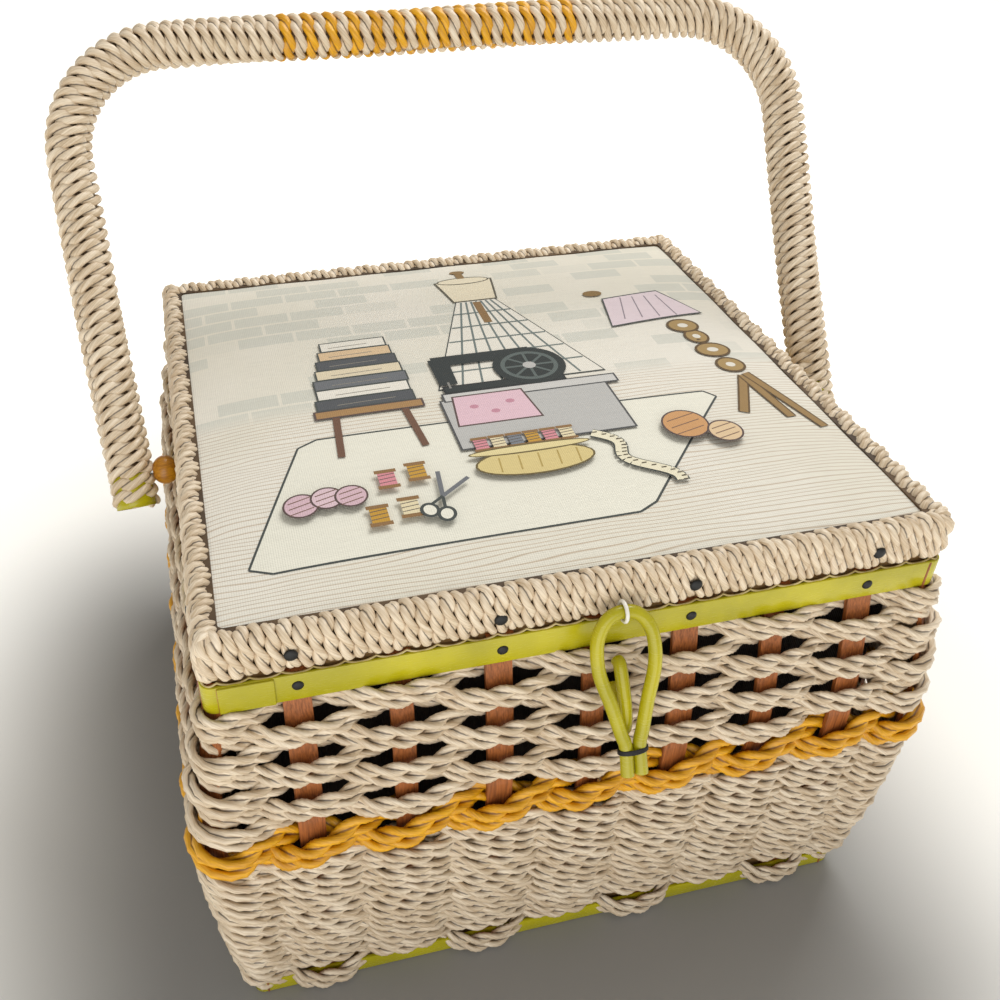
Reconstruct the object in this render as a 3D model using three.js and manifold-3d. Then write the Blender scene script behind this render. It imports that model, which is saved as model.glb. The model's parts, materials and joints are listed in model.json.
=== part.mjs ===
// A square wicker sewing basket with a padded lid, a wrapped carrying handle, a loop-and-peg
// latch and two lift-out trays, built as separate pieces.
// Millimetres, +Z up, +X to the right along the front, +Y to the back.
// The origin is the middle of the base board's underside.
import * as THREE from 'three';
import { mergeVertices } from 'three/addons/utils/BufferGeometryUtils.js';
import Module from 'manifold-3d';

const wasm = await Module();
wasm.setup();

// ---------------------------------------------------------------- driving dimensions
const lidHalfX = 140;
const lidHalfY = 132;
const lidCorner = 5;
const cornerGrowth = 0.5;
const smallestCorner = 2;
const cornerSteps = 5;
const gap = 0.3;

// wall of the basket: how far the staves' outer face stands from the lid's footprint
const bodyTop = 195.3;
const rimBandHeight = 12.3;
const baseRimHeight = 9;
const staveInsetTop = -2.4;
const staveInsetBase = -2.3;
const bellyOut = 8;
const bellyHeight = 115;
const staveThickness = 2;
const nailedStaveWidth = 10;
const plainStaveWidth = 8.5;
const stavePitch = 36;
const stavesPerSide = 7;
const staveSteps = 9;
const cordThickness = 6.4;
const braidThickness = 8;
const braidHeight = 18;
const bandThickness = 1.6;
const hoopThickness = 6;
const hoopHeight = 17;

// inside
const boardThickness = 9;
const liningThickness = 2;
const liningTop = 193;
const ledgeDepthLow = 14;
const ledgeDepthHigh = 7;
const ledgeLowTop = 104;
const ledgeHighTop = 146;
const ledgeFoot = 8;
const trayWall = 1.8;
const trayHeight = 32;
const trayPlay = 1;
const trayCorner = 10;
const dividerThickness = 1.6;
const dividerDrop = 4;
const fingerNotchRadius = 11;

// lid
const partingGap = 0.7;
const lidEdgeHeight = 20;
const wrapThickness = 2.2;
const rollWidth = 9;
const lidBoardThickness = 2.5;
const lidBoardDrop = 6;
const lidLiningThickness = 1.5;
const padEdge = 3;
const padCrown = 7.6;
const pincushionHalfX = 56;
const pincushionHalfY = 42;
const pincushionDepth = 12;

// handle
const pivotHeight = 191.5;
const pivotBack = 1.5;
const armStandoff = 21;
const armSplay = 3;
const handleLength = 184;
const handleTail = 14.5;
const handleLean = 38;
const handleBend = 46;
const gripRadius = 9.3;
const coreRadius = 5;
const pinRadius = 1.5;
const pinHoleRadius = 1.9;
const pinDepthInArm = 7;
const beadRadius = 6.2;
const rosetteRadius = 3.2;
const rosetteThickness = 1;

// latch
const latchX = 6;
const ringPlay = 0.5;
const ringWire = 0.7;
const ringDrop = 12.5;
const tubeRadius = 2.5;
const loopLength = 50;
const loopHalfWidth = 11;
const loopTail = 11;
const latchClearance = 1.2;
const pegTop = 180.5;
const pegRise = 15;
const pegReach = 4.2;

// hinges
const hingeSpacing = 150;
const hingeWidth = 32;
const leafThickness = 1.2;
const leafHeight = 9.5;
const knuckleRadius = 2.3;
const hingePinRadius = 1;
const hingeBoreRadius = 1.35;

// ---------------------------------------------------------------- sizes worked out from them
const rimBandFoot = bodyTop - rimBandHeight;
const lidFoot = bodyTop + partingGap;
const lidTop = lidFoot + lidEdgeHeight;
const pivotHalfWidth = lidHalfX + armStandoff;
const braidFoot = bellyHeight - braidHeight / 2;
const braidTop = bellyHeight + braidHeight / 2;
const liningOuter = staveInsetTop - staveThickness - hoopThickness - 2 * gap;
const liningInner = liningOuter - liningThickness;

// ---------------------------------------------------------------- materials
const colour = (hex, roughness, metalness = 0) =>
  new THREE.MeshStandardMaterial({ color: hex, roughness, metalness });
const paperCord = colour(0xb7a288, 0.62);
const ochreCord = colour(0xc98a1e, 0.5);
const limePlastic = colour(0xb4b032, 0.3);
const staveWood = colour(0x8a4a2c, 0.6);
const paleWood = colour(0xb9925e, 0.65);
const ochreWood = colour(0xb47a1c, 0.4);
const clothPrint = colour(0xd9d3c6, 0.85);
const clothLining = colour(0xd8c9a6, 0.85);
const velvet = colour(0xa97a22, 0.9);
const trayPlastic = colour(0xe4dcc8, 0.35);
const brass = colour(0xb08a45, 0.35, 1);
const steel = colour(0x9a9a9a, 0.3, 1);
const whitePlastic = colour(0xe9e6de, 0.4);

const box = new THREE.Group();
function add(name, geometry, material, parent = box) {
  const mesh = new THREE.Mesh(geometry, material);
  mesh.name = name;
  parent.add(mesh);
  return mesh;
}

// ---------------------------------------------------------------- closed shapes from level outlines
function outline(level) {
  const points = [];
  const corners = [[1, 1, 0], [-1, 1, 1], [-1, -1, 2], [1, -1, 3]];
  for (const [sideX, sideY, quarter] of corners) {
    for (let step = 0; step <= cornerSteps; step++) {
      const angle = (quarter + step / cornerSteps) * Math.PI / 2;
      points.push([
        sideX * (level.halfX - level.corner) + level.corner * Math.cos(angle),
        sideY * (level.halfY - level.corner) + level.corner * Math.sin(angle),
        level.z,
      ]);
    }
  }
  return points;
}

// A level that stands a given distance outside (+) or inside (-) the lid's footprint. Its corners
// grow with the distance, but less than a parallel outline's would.
function levelAt(offset, z, corner = Math.max(lidCorner + cornerGrowth * offset, smallestCorner)) {
  return { halfX: lidHalfX + offset, halfY: lidHalfY + offset, corner, z };
}

// Skins a list of levels. A ring joins its last level to its first, a body gets a cap at each end.
function loft(levels, isRing) {
  const positions = levels.flatMap((level) => outline(level).flat());
  const count = 4 * (cornerSteps + 1);
  const faces = [];
  const lastLevel = isRing ? levels.length : levels.length - 1;
  for (let row = 0; row < lastLevel; row++) {
    const below = row * count;
    const above = ((row + 1) % levels.length) * count;
    for (let i = 0; i < count; i++) {
      const j = (i + 1) % count;
      faces.push(below + i, below + j, above + j, below + i, above + j, above + i);
    }
  }
  if (!isRing) {
    const foot = positions.length / 3;
    positions.push(0, 0, levels[0].z, 0, 0, levels[levels.length - 1].z);
    const top = (levels.length - 1) * count;
    for (let i = 0; i < count; i++) {
      const j = (i + 1) % count;
      faces.push(foot, j, i, foot + 1, top + i, top + j);
    }
  }
  const geometry = new THREE.BufferGeometry();
  geometry.setAttribute('position', new THREE.Float32BufferAttribute(positions, 3));
  geometry.setIndex(faces);
  return geometry;
}

const plate = (offset, foot, top) => loft([levelAt(offset, foot), levelAt(offset, top)], false);

// A straight-sided hoop between two offsets.
const hoop = (outer, inner, foot, top) => loft([
  levelAt(outer, foot), levelAt(outer, top), levelAt(inner, top), levelAt(inner, foot),
], true);

// ---------------------------------------------------------------- booleans
function toSolid(geometry, matrix = new THREE.Matrix4()) {
  const bare = geometry.clone().applyMatrix4(matrix);
  bare.deleteAttribute('normal');
  bare.deleteAttribute('uv');
  const merged = mergeVertices(bare, 1e-4);
  return new wasm.Manifold(new wasm.Mesh({
    numProp: 3,
    vertProperties: new Float32Array(merged.attributes.position.array),
    triVerts: new Uint32Array(merged.index.array),
  }));
}

function toGeometry(solid) {
  const mesh = solid.getMesh();
  const geometry = new THREE.BufferGeometry();
  geometry.setAttribute('position', new THREE.Float32BufferAttribute(mesh.vertProperties, 3));
  geometry.setIndex(Array.from(mesh.triVerts));
  return geometry;
}

function block(sizeX, sizeY, sizeZ, x, y, z) {
  return new THREE.BoxGeometry(sizeX, sizeY, sizeZ).translate(x, y, z);
}

// A round bar along X.
function barAlongX(radius, length, x, y, z, sides = 16) {
  return new THREE.CylinderGeometry(radius, radius, length, sides).rotateZ(Math.PI / 2).translate(x, y, z);
}

// ---------------------------------------------------------------- the bulging wall
// Two quarter sine arcs meet at the belly, where the wall stands furthest out.
function staveOffset(z) {
  if (z <= baseRimHeight) return staveInsetBase;
  if (z >= rimBandFoot) return staveInsetTop;
  if (z <= bellyHeight) {
    const rise = (z - baseRimHeight) / (bellyHeight - baseRimHeight);
    return staveInsetBase + (bellyOut - staveInsetBase) * Math.sin(rise * Math.PI / 2);
  }
  const fall = (z - bellyHeight) / (rimBandFoot - bellyHeight);
  return staveInsetTop + (bellyOut - staveInsetTop) * Math.cos(fall * Math.PI / 2);
}

function wallHeights(foot, top, steps) {
  return Array.from({ length: steps + 1 }, (_, i) => foot + (top - foot) * i / steps);
}

// ---------------------------------------------------------------- staves
// One strip of the given width that follows the wall, for a side whose half width is reach.
function staveGeometry(width, reach) {
  const foot = gap;
  const heights = [foot, ...wallHeights(baseRimHeight, rimBandFoot, staveSteps), bodyTop - gap];
  const positions = [];
  for (const z of heights) {
    const face = -(reach + staveOffset(z));
    for (const [x, y] of [[-1, 0], [1, 0], [1, 1], [-1, 1]]) {
      positions.push(x * width / 2, face + y * staveThickness, z);
    }
  }
  const faces = [0, 3, 2, 0, 2, 1];
  for (let row = 0; row < heights.length - 1; row++) {
    for (let i = 0; i < 4; i++) {
      const a = row * 4 + i;
      const b = row * 4 + (i + 1) % 4;
      faces.push(a, b, b + 4, a, b + 4, a + 4);
    }
  }
  const top = (heights.length - 1) * 4;
  faces.push(top, top + 1, top + 2, top, top + 2, top + 3);
  const geometry = new THREE.BufferGeometry();
  geometry.setAttribute('position', new THREE.Float32BufferAttribute(positions, 3));
  geometry.setIndex(faces);
  return geometry;
}

const sides = [
  ['front', lidHalfY, 0],
  ['right', lidHalfX, Math.PI / 2],
  ['back', lidHalfY, Math.PI],
  ['left', lidHalfX, -Math.PI / 2],
];
for (const [side, reach, turn] of sides) {
  const across = side === 'front' || side === 'back' ? lidHalfX : lidHalfY;
  const pitch = stavePitch * across / lidHalfX;
  for (let i = 0; i < stavesPerSide; i++) {
    const isNailed = i % 2 === 0;
    const width = isNailed ? nailedStaveWidth : plainStaveWidth;
    const geometry = staveGeometry(width, reach).translate((i - (stavesPerSide - 1) / 2) * pitch, 0, 0);
    add(`stave_${side}_${i + 1}`, geometry, staveWood).rotation.z = turn;
  }
}

// ---------------------------------------------------------------- woven walls, rims and base
function wovenWall(foot, top, thickness, steps) {
  const heights = wallHeights(foot, top, steps);
  const outer = heights.map((z) => levelAt(staveOffset(z) + gap + thickness, z));
  const inner = heights.map((z) => levelAt(staveOffset(z) + gap, z)).reverse();
  return loft([...outer, ...inner], true);
}
add('lower_weave', wovenWall(baseRimHeight + gap, braidFoot - gap / 2, cordThickness, 5), paperCord);
add('braid_band', wovenWall(braidFoot + gap / 2, braidTop - gap / 2, braidThickness, 2), ochreCord);
add('upper_weave', wovenWall(braidTop + gap / 2, rimBandFoot - gap, cordThickness, 4), paperCord);

const bandInner = staveInsetTop + gap;
const bandOuter = bandInner + bandThickness;
add('rim_band', hoop(bandOuter, bandInner, rimBandFoot, bodyTop), limePlastic);
const hoopOuter = staveInsetTop - staveThickness - gap;
add('rim_hoop', hoop(hoopOuter, hoopOuter - hoopThickness, bodyTop - hoopHeight, bodyTop), paleWood);
const baseRimInner = staveInsetBase + gap;
add('base_rim', hoop(baseRimInner + bandThickness, baseRimInner, gap, baseRimHeight), limePlastic);
add('base_board', plate(staveInsetBase - staveThickness - gap, 0, boardThickness), paleWood);

// ---------------------------------------------------------------- lining and tray ledge
const liningFoot = boardThickness + gap;
add('lining', loft([
  levelAt(liningOuter, liningFoot),
  levelAt(liningOuter, liningTop),
  levelAt(liningInner, liningTop),
  levelAt(liningInner, liningFoot + liningThickness),
], false), clothLining);

const ledgeOuter = liningInner - gap;
add('tray_ledge', loft([
  levelAt(ledgeOuter, ledgeLowTop - ledgeFoot),
  levelAt(ledgeOuter, ledgeHighTop),
  levelAt(ledgeOuter - ledgeDepthHigh, ledgeHighTop),
  levelAt(ledgeOuter - ledgeDepthHigh, ledgeLowTop),
  levelAt(ledgeOuter - ledgeDepthLow, ledgeLowTop),
  levelAt(ledgeOuter - ledgeDepthLow, ledgeLowTop - ledgeFoot),
], true), paleWood);

// ---------------------------------------------------------------- lift-out trays
// Open box with crossed dividers and two finger notches. Divider places are shares of its inside.
function tray(offset, foot, rowShares, columnShares) {
  const outerX = lidHalfX + offset;
  const outerY = lidHalfY + offset;
  const innerX = outerX - trayWall;
  const innerY = outerY - trayWall;
  const shell = loft([
    levelAt(offset, foot, trayCorner),
    levelAt(offset, foot + trayHeight, trayCorner),
    levelAt(offset - trayWall, foot + trayHeight, trayCorner - trayWall),
    levelAt(offset - trayWall, foot + trayWall, trayCorner - trayWall),
  ], false);
  const sink = trayWall / 2;
  const dividerTop = foot + trayHeight - dividerDrop;
  const dividerHeight = dividerTop - foot - sink;
  const middle = foot + sink + dividerHeight / 2;
  const pieces = [toSolid(shell)];
  for (const share of rowShares) {
    const y = innerY * share;
    pieces.push(toSolid(block(2 * (innerX + sink), dividerThickness, dividerHeight, 0, y, middle)));
  }
  for (const [share, fromShare, toShare] of columnShares) {
    const from = innerY * fromShare - (fromShare === -1 ? sink : 0);
    const to = innerY * toShare + (toShare === 1 ? sink : 0);
    const length = to - from;
    const centreY = (from + to) / 2;
    pieces.push(toSolid(block(dividerThickness, length, dividerHeight, innerX * share, centreY, middle)));
  }
  let solid = pieces.reduce((sum, piece) => sum.add(piece));
  for (const side of [-1, 1]) {
    const notchX = side * (outerX - sink);
    const notch = barAlongX(fingerNotchRadius, 4 * trayWall, notchX, 0, foot + trayHeight, 20);
    solid = solid.subtract(toSolid(notch));
  }
  return toGeometry(solid);
}
const upperTrayOffset = ledgeOuter - trayPlay;
const lowerTrayOffset = ledgeOuter - ledgeDepthHigh - trayPlay;
add('tray_upper', tray(upperTrayOffset, ledgeHighTop + gap, [-0.42, 0.3],
  [[-0.5, 0.3, 1], [0, 0.3, 1], [0.5, 0.3, 1], [0, -0.42, 0.3], [0.45, -1, -0.42]]), trayPlastic);
add('tray_lower', tray(lowerTrayOffset, ledgeLowTop + gap, [0], [[-0.35, -1, 0], [0.35, 0, 1]]), trayPlastic);

// ---------------------------------------------------------------- lid
const lid = new THREE.Group();
box.add(lid);
const frameOuter = -wrapThickness - gap;
const frameInner = -rollWidth - gap;
const edgeRound = 1.6;
add('lid_wrap', loft([
  levelAt(-edgeRound, lidFoot),
  levelAt(0, lidFoot + edgeRound),
  levelAt(0, lidTop - edgeRound),
  levelAt(-edgeRound, lidTop),
  levelAt(-rollWidth, lidTop),
  levelAt(-rollWidth, lidTop - wrapThickness),
  levelAt(-wrapThickness, lidTop - wrapThickness),
  levelAt(-wrapThickness, lidFoot + wrapThickness),
  levelAt(-rollWidth, lidFoot + wrapThickness),
  levelAt(-rollWidth, lidFoot),
], true), paperCord, lid);
add('lid_frame', hoop(frameOuter, frameInner, lidFoot + wrapThickness + gap, lidTop - wrapThickness - gap),
  paleWood, lid);

const lidInner = frameInner - gap;
const lidBoardTop = lidTop - lidBoardDrop;
const lidBoardFoot = lidBoardTop - lidBoardThickness;
add('lid_board', plate(lidInner, lidBoardFoot, lidBoardTop), paleWood, lid);

const padFoot = lidBoardTop + gap;
const padShape = [[0, 0], [0, 0.32], [5, 0.52], [18, 0.68], [45, 0.86], [85, 0.97]];
const padLevels = padShape.map(([inward, rise]) => levelAt(lidInner - inward, padFoot + padCrown * rise));
padLevels.push(levelAt(lidInner - 110, padFoot + padCrown));
add('lid_pad', loft(padLevels, false), clothPrint, lid);

const lidLiningTop = lidBoardFoot - gap;
add('lid_lining', plate(lidInner, lidLiningTop - lidLiningThickness, lidLiningTop), clothLining, lid);

const cushionTop = lidLiningTop - lidLiningThickness - gap;
const cushionLevel = (pull, drop) => ({
  halfX: pincushionHalfX - pull,
  halfY: pincushionHalfY - pull,
  corner: pincushionHalfY * 0.45,
  z: cushionTop - drop,
});
add('pincushion', loft([
  cushionLevel(16, pincushionDepth),
  cushionLevel(6, pincushionDepth * 0.86),
  cushionLevel(1, pincushionDepth * 0.6),
  cushionLevel(0, pincushionDepth * 0.35),
  cushionLevel(1.5, 0),
], false), velvet, lid);

// ---------------------------------------------------------------- hinges on the back
const hingeY = lidHalfY + knuckleRadius + 2 * gap;
const hingeZ = (bodyTop + lidFoot) / 2;
const knuckleGap = 0.4;
const knuckleLength = (hingeWidth - 2 * knuckleGap) / 3;

// A leaf lies flat on its piece, and a strap joins it to its knuckles.
function hingeLeaf(x, faceY, up, knuckleOffsets) {
  const start = up * (knuckleRadius + 1.5 * gap);
  const middleZ = hingeZ + start + up * leafHeight / 2;
  const leafY = faceY + gap + leafThickness / 2;
  const pieces = [toSolid(block(hingeWidth, leafThickness, leafHeight, x, leafY, middleZ))];
  for (const offset of knuckleOffsets) {
    pieces.push(toSolid(barAlongX(knuckleRadius, knuckleLength, x + offset, hingeY, hingeZ)));
    const strap = new THREE.Shape([
      new THREE.Vector2(leafY - leafThickness / 2, hingeZ + start),
      new THREE.Vector2(leafY - leafThickness / 2, hingeZ + start + up * leafThickness),
      new THREE.Vector2(leafY + leafThickness / 2, hingeZ + start + up * leafThickness),
      new THREE.Vector2(hingeY + knuckleRadius * 0.75, hingeZ + up * knuckleRadius * 0.5),
      new THREE.Vector2(hingeY, hingeZ + up * knuckleRadius * 0.5),
    ]);
    const bar = new THREE.ExtrudeGeometry(strap, { depth: knuckleLength, bevelEnabled: false });
    const alongX = new THREE.Matrix4().makeBasis(
      new THREE.Vector3(0, 1, 0), new THREE.Vector3(0, 0, 1), new THREE.Vector3(1, 0, 0));
    bar.applyMatrix4(alongX).translate(x + offset - knuckleLength / 2, 0, 0);
    pieces.push(toSolid(bar));
  }
  const bore = toSolid(barAlongX(hingeBoreRadius, 2 * hingeWidth, x, hingeY, hingeZ, 20));
  return toGeometry(pieces.reduce((sum, piece) => sum.add(piece)).subtract(bore));
}
for (const [side, x] of [['left', -hingeSpacing / 2], ['right', hingeSpacing / 2]]) {
  const step = knuckleLength + knuckleGap;
  add(`hinge_body_leaf_${side}`, hingeLeaf(x, lidHalfY + bandOuter, -1, [0]), brass);
  add(`hinge_lid_leaf_${side}`, hingeLeaf(x, lidHalfY, 1, [-step, step]), brass, lid);
  add(`hinge_pin_${side}`, barAlongX(hingePinRadius, hingeWidth, x, hingeY, hingeZ, 10), steel);
}

// ---------------------------------------------------------------- round tubes along a path
function tubeAlong(path, radius, steps, sidesCount, holeRadius = 0) {
  const shape = new THREE.Shape();
  shape.absarc(0, 0, radius, 0, 2 * Math.PI, false);
  if (holeRadius > 0) {
    const hole = new THREE.Path();
    hole.absarc(0, 0, holeRadius, 0, 2 * Math.PI, true);
    shape.holes.push(hole);
  }
  const points = shape.extractPoints(sidesCount / 2);
  const section = new THREE.Shape(points.shape.slice(0, -1));
  for (const hole of points.holes) section.holes.push(new THREE.Path(hole.slice(0, -1)));
  return new THREE.ExtrudeGeometry(section, { steps, extrudePath: path, bevelEnabled: false });
}

// ---------------------------------------------------------------- carrying handle
const handle = new THREE.Group();
handle.position.set(0, pivotBack, pivotHeight);
handle.rotation.x = -handleLean * Math.PI / 180;
box.add(handle);

// The arms splay outward from the pivots, and each turns into the bar through one round bend.
function handlePath() {
  const splay = armSplay * Math.PI / 180;
  const shoulder = handleLength - handleBend * (1 + Math.sin(splay));
  const bendX = pivotHalfWidth + shoulder * Math.tan(splay) - handleBend * Math.cos(splay);
  const bow = (centreX, fromAngle, toAngle) => {
    const points = wallHeights(fromAngle, toAngle, 8).map((angle) => new THREE.Vector3(
      centreX + handleBend * Math.cos(angle), 0,
      handleLength - handleBend + handleBend * Math.sin(angle)));
    return new THREE.CatmullRomCurve3(points);
  };
  const left = bow(-bendX, Math.PI + splay, Math.PI / 2);
  const right = bow(bendX, Math.PI / 2, -splay);
  const footX = pivotHalfWidth - handleTail * Math.tan(splay);
  const path = new THREE.CurvePath();
  path.add(new THREE.LineCurve3(new THREE.Vector3(-footX, 0, -handleTail), left.getPoint(0)));
  path.add(left);
  path.add(new THREE.LineCurve3(left.getPoint(1), right.getPoint(0)));
  path.add(right);
  path.add(new THREE.LineCurve3(right.getPoint(1), new THREE.Vector3(footX, 0, -handleTail)));
  return path;
}

// The pivot pins enter each arm from the inside.
function withPinHoles(geometry) {
  let solid = toSolid(geometry);
  const length = 2 * gripRadius;
  for (const side of [-1, 1]) {
    const x = side * (pivotHalfWidth - gripRadius + pinDepthInArm - length / 2 + gap);
    solid = solid.subtract(toSolid(barAlongX(pinHoleRadius, length, x, 0, 0, 12)));
  }
  return toGeometry(solid);
}
add('handle_core', withPinHoles(tubeAlong(handlePath(), coreRadius, 44, 8)), limePlastic, handle);
const wrapTube = tubeAlong(handlePath(), gripRadius, 44, 12, coreRadius + 2 * gap);
add('handle_wrap', withPinHoles(wrapTube), paperCord, handle);

// ---------------------------------------------------------------- pivots of the handle
const pinStart = lidHalfX + bandOuter + gap;
const pinEnd = pivotHalfWidth - gripRadius + pinDepthInArm;
const rosetteEnd = pinStart + rosetteThickness;
const beadStart = Math.max(lidHalfX, rosetteEnd) + gap;
const beadEnd = pivotHalfWidth - gripRadius - 2 * gap;
for (const [side, sign] of [['left', -1], ['right', 1]]) {
  const turn = new THREE.Matrix4().makeRotationY(sign * Math.PI / 2);
  const pinProfile = [[0, pinStart], [rosetteRadius, pinStart], [rosetteRadius, rosetteEnd],
    [pinRadius, rosetteEnd], [pinRadius, pinEnd], [0, pinEnd]];
  const beadHole = pinRadius + gap;
  const beadWaist = beadRadius * 0.62;
  const beadProfile = [[beadHole, beadStart], [beadWaist, beadStart],
    [beadRadius, beadStart * 0.72 + beadEnd * 0.28], [beadRadius, beadStart * 0.28 + beadEnd * 0.72],
    [beadWaist, beadEnd], [beadHole, beadEnd], [beadHole, beadStart]];
  const turned = [['pivot_pin', pinProfile, steel], ['pivot_bead', beadProfile, ochreWood]];
  for (const [name, profile, material] of turned) {
    const outlinePoints = profile.map(([radius, along]) => new THREE.Vector2(radius, along));
    const geometry = new THREE.LatheGeometry(outlinePoints, 16).rotateX(Math.PI / 2).applyMatrix4(turn);
    add(`${name}_${side}`, geometry, material).position.set(0, pivotBack, pivotHeight);
  }
}

// ---------------------------------------------------------------- latch
// The peg is a short loop of tube. It leaves the weave under the band, droops, turns back and
// returns to the weave below.
const pegFace = (z) => -(lidHalfY + staveOffset(z - tubeRadius) + cordThickness + 3 * gap);
const pegLow = pegTop - pegRise;
const pegLegs = 2 * tubeRadius + 1.4 * gap;
const pegFront = pegFace(pegLow) - tubeRadius - pegReach - pegLegs / 2;
const pegNose = pegLow - pegLegs * 0.83;
const pegRoute = [
  [pegFace(pegTop), pegTop],
  [pegFace(pegTop) - 2.4, pegTop - 0.3],
  [pegFront + pegLegs * 1.2, pegTop - 0.36 * pegRise],
  [pegFront + pegLegs * 0.4, pegTop - 0.83 * pegRise],
  [pegFront, pegNose],
  [pegFront + pegLegs * 0.18, pegLow - pegLegs * 1.51],
  [pegFront + pegLegs * 0.75, pegLow - pegLegs * 1.62],
  [pegFront + pegLegs, pegLow - pegLegs * 1.11],
  [pegFront + pegLegs * 1.06, pegLow - pegLegs * 0.55],
  [pegFace(pegLow) - 1.6, pegLow - 0.3],
  [pegFace(pegLow), pegLow],
];
const pegPath = new THREE.CatmullRomCurve3(pegRoute.map(([y, z]) => new THREE.Vector3(latchX, y, z)));
add('latch_peg', tubeAlong(pegPath, tubeRadius, 22, 8), limePlastic);

const ringRadius = tubeRadius + ringWire + ringPlay;
const ringY = -(lidHalfY + ringRadius + ringWire + gap);
const ringZ = lidTop - ringDrop;
const latch = new THREE.Group();
latch.position.set(latchX, ringY, ringZ);
lid.add(latch);
const ringGeometry = new THREE.TorusGeometry(ringRadius, ringWire, 8, 16).rotateY(Math.PI / 2);
add('latch_ring', ringGeometry, whitePlastic, latch);

// The loop hangs from the ring and leans outward, just clear of the peg's nose.
const swing = new THREE.Group();
const loopReach = ringY - pegFront + 2 * tubeRadius + latchClearance;
swing.rotation.x = -Math.atan2(loopReach, ringZ - pegNose);
latch.add(swing);
const tailX = tubeRadius + gap / 2;
const halfLoop = [
  [tailX, -loopLength - loopTail], [tailX, -loopLength], [tailX + 1.4, -loopLength + 5],
  [loopHalfWidth * 0.62, -loopLength * 0.68], [loopHalfWidth * 0.95, -loopLength * 0.42],
  [loopHalfWidth * 0.93, -loopLength * 0.19], [loopHalfWidth * 0.56, -loopLength * 0.045],
];
const loopPoints = [...halfLoop.map(([x, z]) => [-x, z]), [0, 0], ...halfLoop.reverse()];
const loopPath = new THREE.CatmullRomCurve3(
  loopPoints.map(([x, z]) => new THREE.Vector3(x, 0, z)), false, 'centripetal');
add('latch_loop', tubeAlong(loopPath, tubeRadius, 44, 8), limePlastic, swing);

export default box;
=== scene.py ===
"""The looks of a square wicker sewing basket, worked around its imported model.

Cords are laid as twisted strands, plastic and wood are shaped with Blender's own operators,
and each finish is a node material. Units are metres.
"""

import json
import math
import random

import bpy
import numpy as np
from bpy.props import FloatProperty, FloatVectorProperty, IntProperty, PointerProperty
from mathutils import Matrix, Vector


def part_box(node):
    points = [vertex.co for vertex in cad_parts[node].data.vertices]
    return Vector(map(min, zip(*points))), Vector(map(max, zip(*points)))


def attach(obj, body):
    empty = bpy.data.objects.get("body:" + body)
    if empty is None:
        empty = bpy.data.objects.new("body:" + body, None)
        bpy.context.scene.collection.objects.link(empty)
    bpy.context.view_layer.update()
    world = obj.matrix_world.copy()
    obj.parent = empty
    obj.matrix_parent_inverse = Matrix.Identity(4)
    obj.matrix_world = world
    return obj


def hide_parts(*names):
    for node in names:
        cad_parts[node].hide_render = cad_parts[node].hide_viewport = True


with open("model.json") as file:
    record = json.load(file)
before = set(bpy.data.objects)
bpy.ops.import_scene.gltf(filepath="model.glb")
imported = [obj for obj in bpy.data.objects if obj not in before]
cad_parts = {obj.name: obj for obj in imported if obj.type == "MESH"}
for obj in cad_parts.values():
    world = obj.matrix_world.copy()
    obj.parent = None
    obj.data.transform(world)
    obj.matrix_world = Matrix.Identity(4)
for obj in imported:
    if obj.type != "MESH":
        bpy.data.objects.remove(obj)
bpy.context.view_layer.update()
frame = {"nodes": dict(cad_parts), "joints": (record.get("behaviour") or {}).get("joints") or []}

bl_info = {
    "name": "Wicker sewing basket",
    "version": (1, 0, 0),
    "blender": (4, 5, 0),
    "location": "View3D > Sidebar > Basket",
    "description": "Winds, weaves, prints and finishes a wicker sewing basket around its model",
    "category": "Add Mesh",
}

MM = 0.001
FULL_TURN = 2 * math.pi


# ---------------------------------------------------------------- sizes read from the model
def node_box(name):
    """The lowest and highest corner of a node, as arrays."""
    low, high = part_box(name)
    return np.array(low), np.array(high)


lid_low, lid_high = node_box("lid_wrap")
LID_HALF_X = (lid_high[0] - lid_low[0]) / 2
LID_HALF_Y = (lid_high[1] - lid_low[1]) / 2
LID_CORNER = 5 * MM
ROLL_WIDTH = 9 * MM
BAND_LOW, BAND_HIGH = node_box("rim_band")
BRAID_LOW, BRAID_HIGH = node_box("braid_band")
BASE_RIM_LOW, BASE_RIM_HIGH = node_box("base_rim")
UPPER_LOW, UPPER_HIGH = node_box("upper_weave")
LOWER_LOW, LOWER_HIGH = node_box("lower_weave")
PAD_LOW, PAD_HIGH = node_box("lid_pad")
STAVE_THICKNESS = 2 * MM
STAVES_PER_SIDE = 7
CORNER_TO_CORNER = STAVES_PER_SIDE + 1
CORD_START_STAVE = 20
CREST_SHARPNESS = 1.25
CORNER_CREST = 0.3
SWING_KEPT_BEHIND = 0.72
BASE_ROW_DROOP = 3.4 * MM
WOUND_CORD_HALF = 1.7 * MM
ARM_SPLAY = math.radians(3)
LATCH_TUBE_RADIUS = 2.5 * MM
LOOP_LENGTH, LOOP_TAIL, LOOP_HALF_WIDTH = 50 * MM, 11 * MM, 11 * MM


def stave_middle(side, number, axis):
    low, high = node_box(f"stave_{side}_{number}")
    return (low[axis] + high[axis]) / 2


STAVE_PITCH_X = stave_middle("front", 5, 0) - stave_middle("front", 4, 0)
STAVE_PITCH_Y = stave_middle("right", 5, 1) - stave_middle("right", 4, 1)


def wall_profile():
    """Heights of the basket's wall, and how far each stands outside the lid's edge."""
    corners = np.array([v.co for v in frame["nodes"]["stave_front_4"].data.vertices])
    heights = np.unique(np.round(corners[:, 2], 6))
    faces = [corners[np.abs(corners[:, 2] - z) < 1e-5][:, 1].min() for z in heights]
    return heights, -np.array(faces) - LID_HALF_Y


WALL_HEIGHTS, WALL_OFFSETS = wall_profile()


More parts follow.
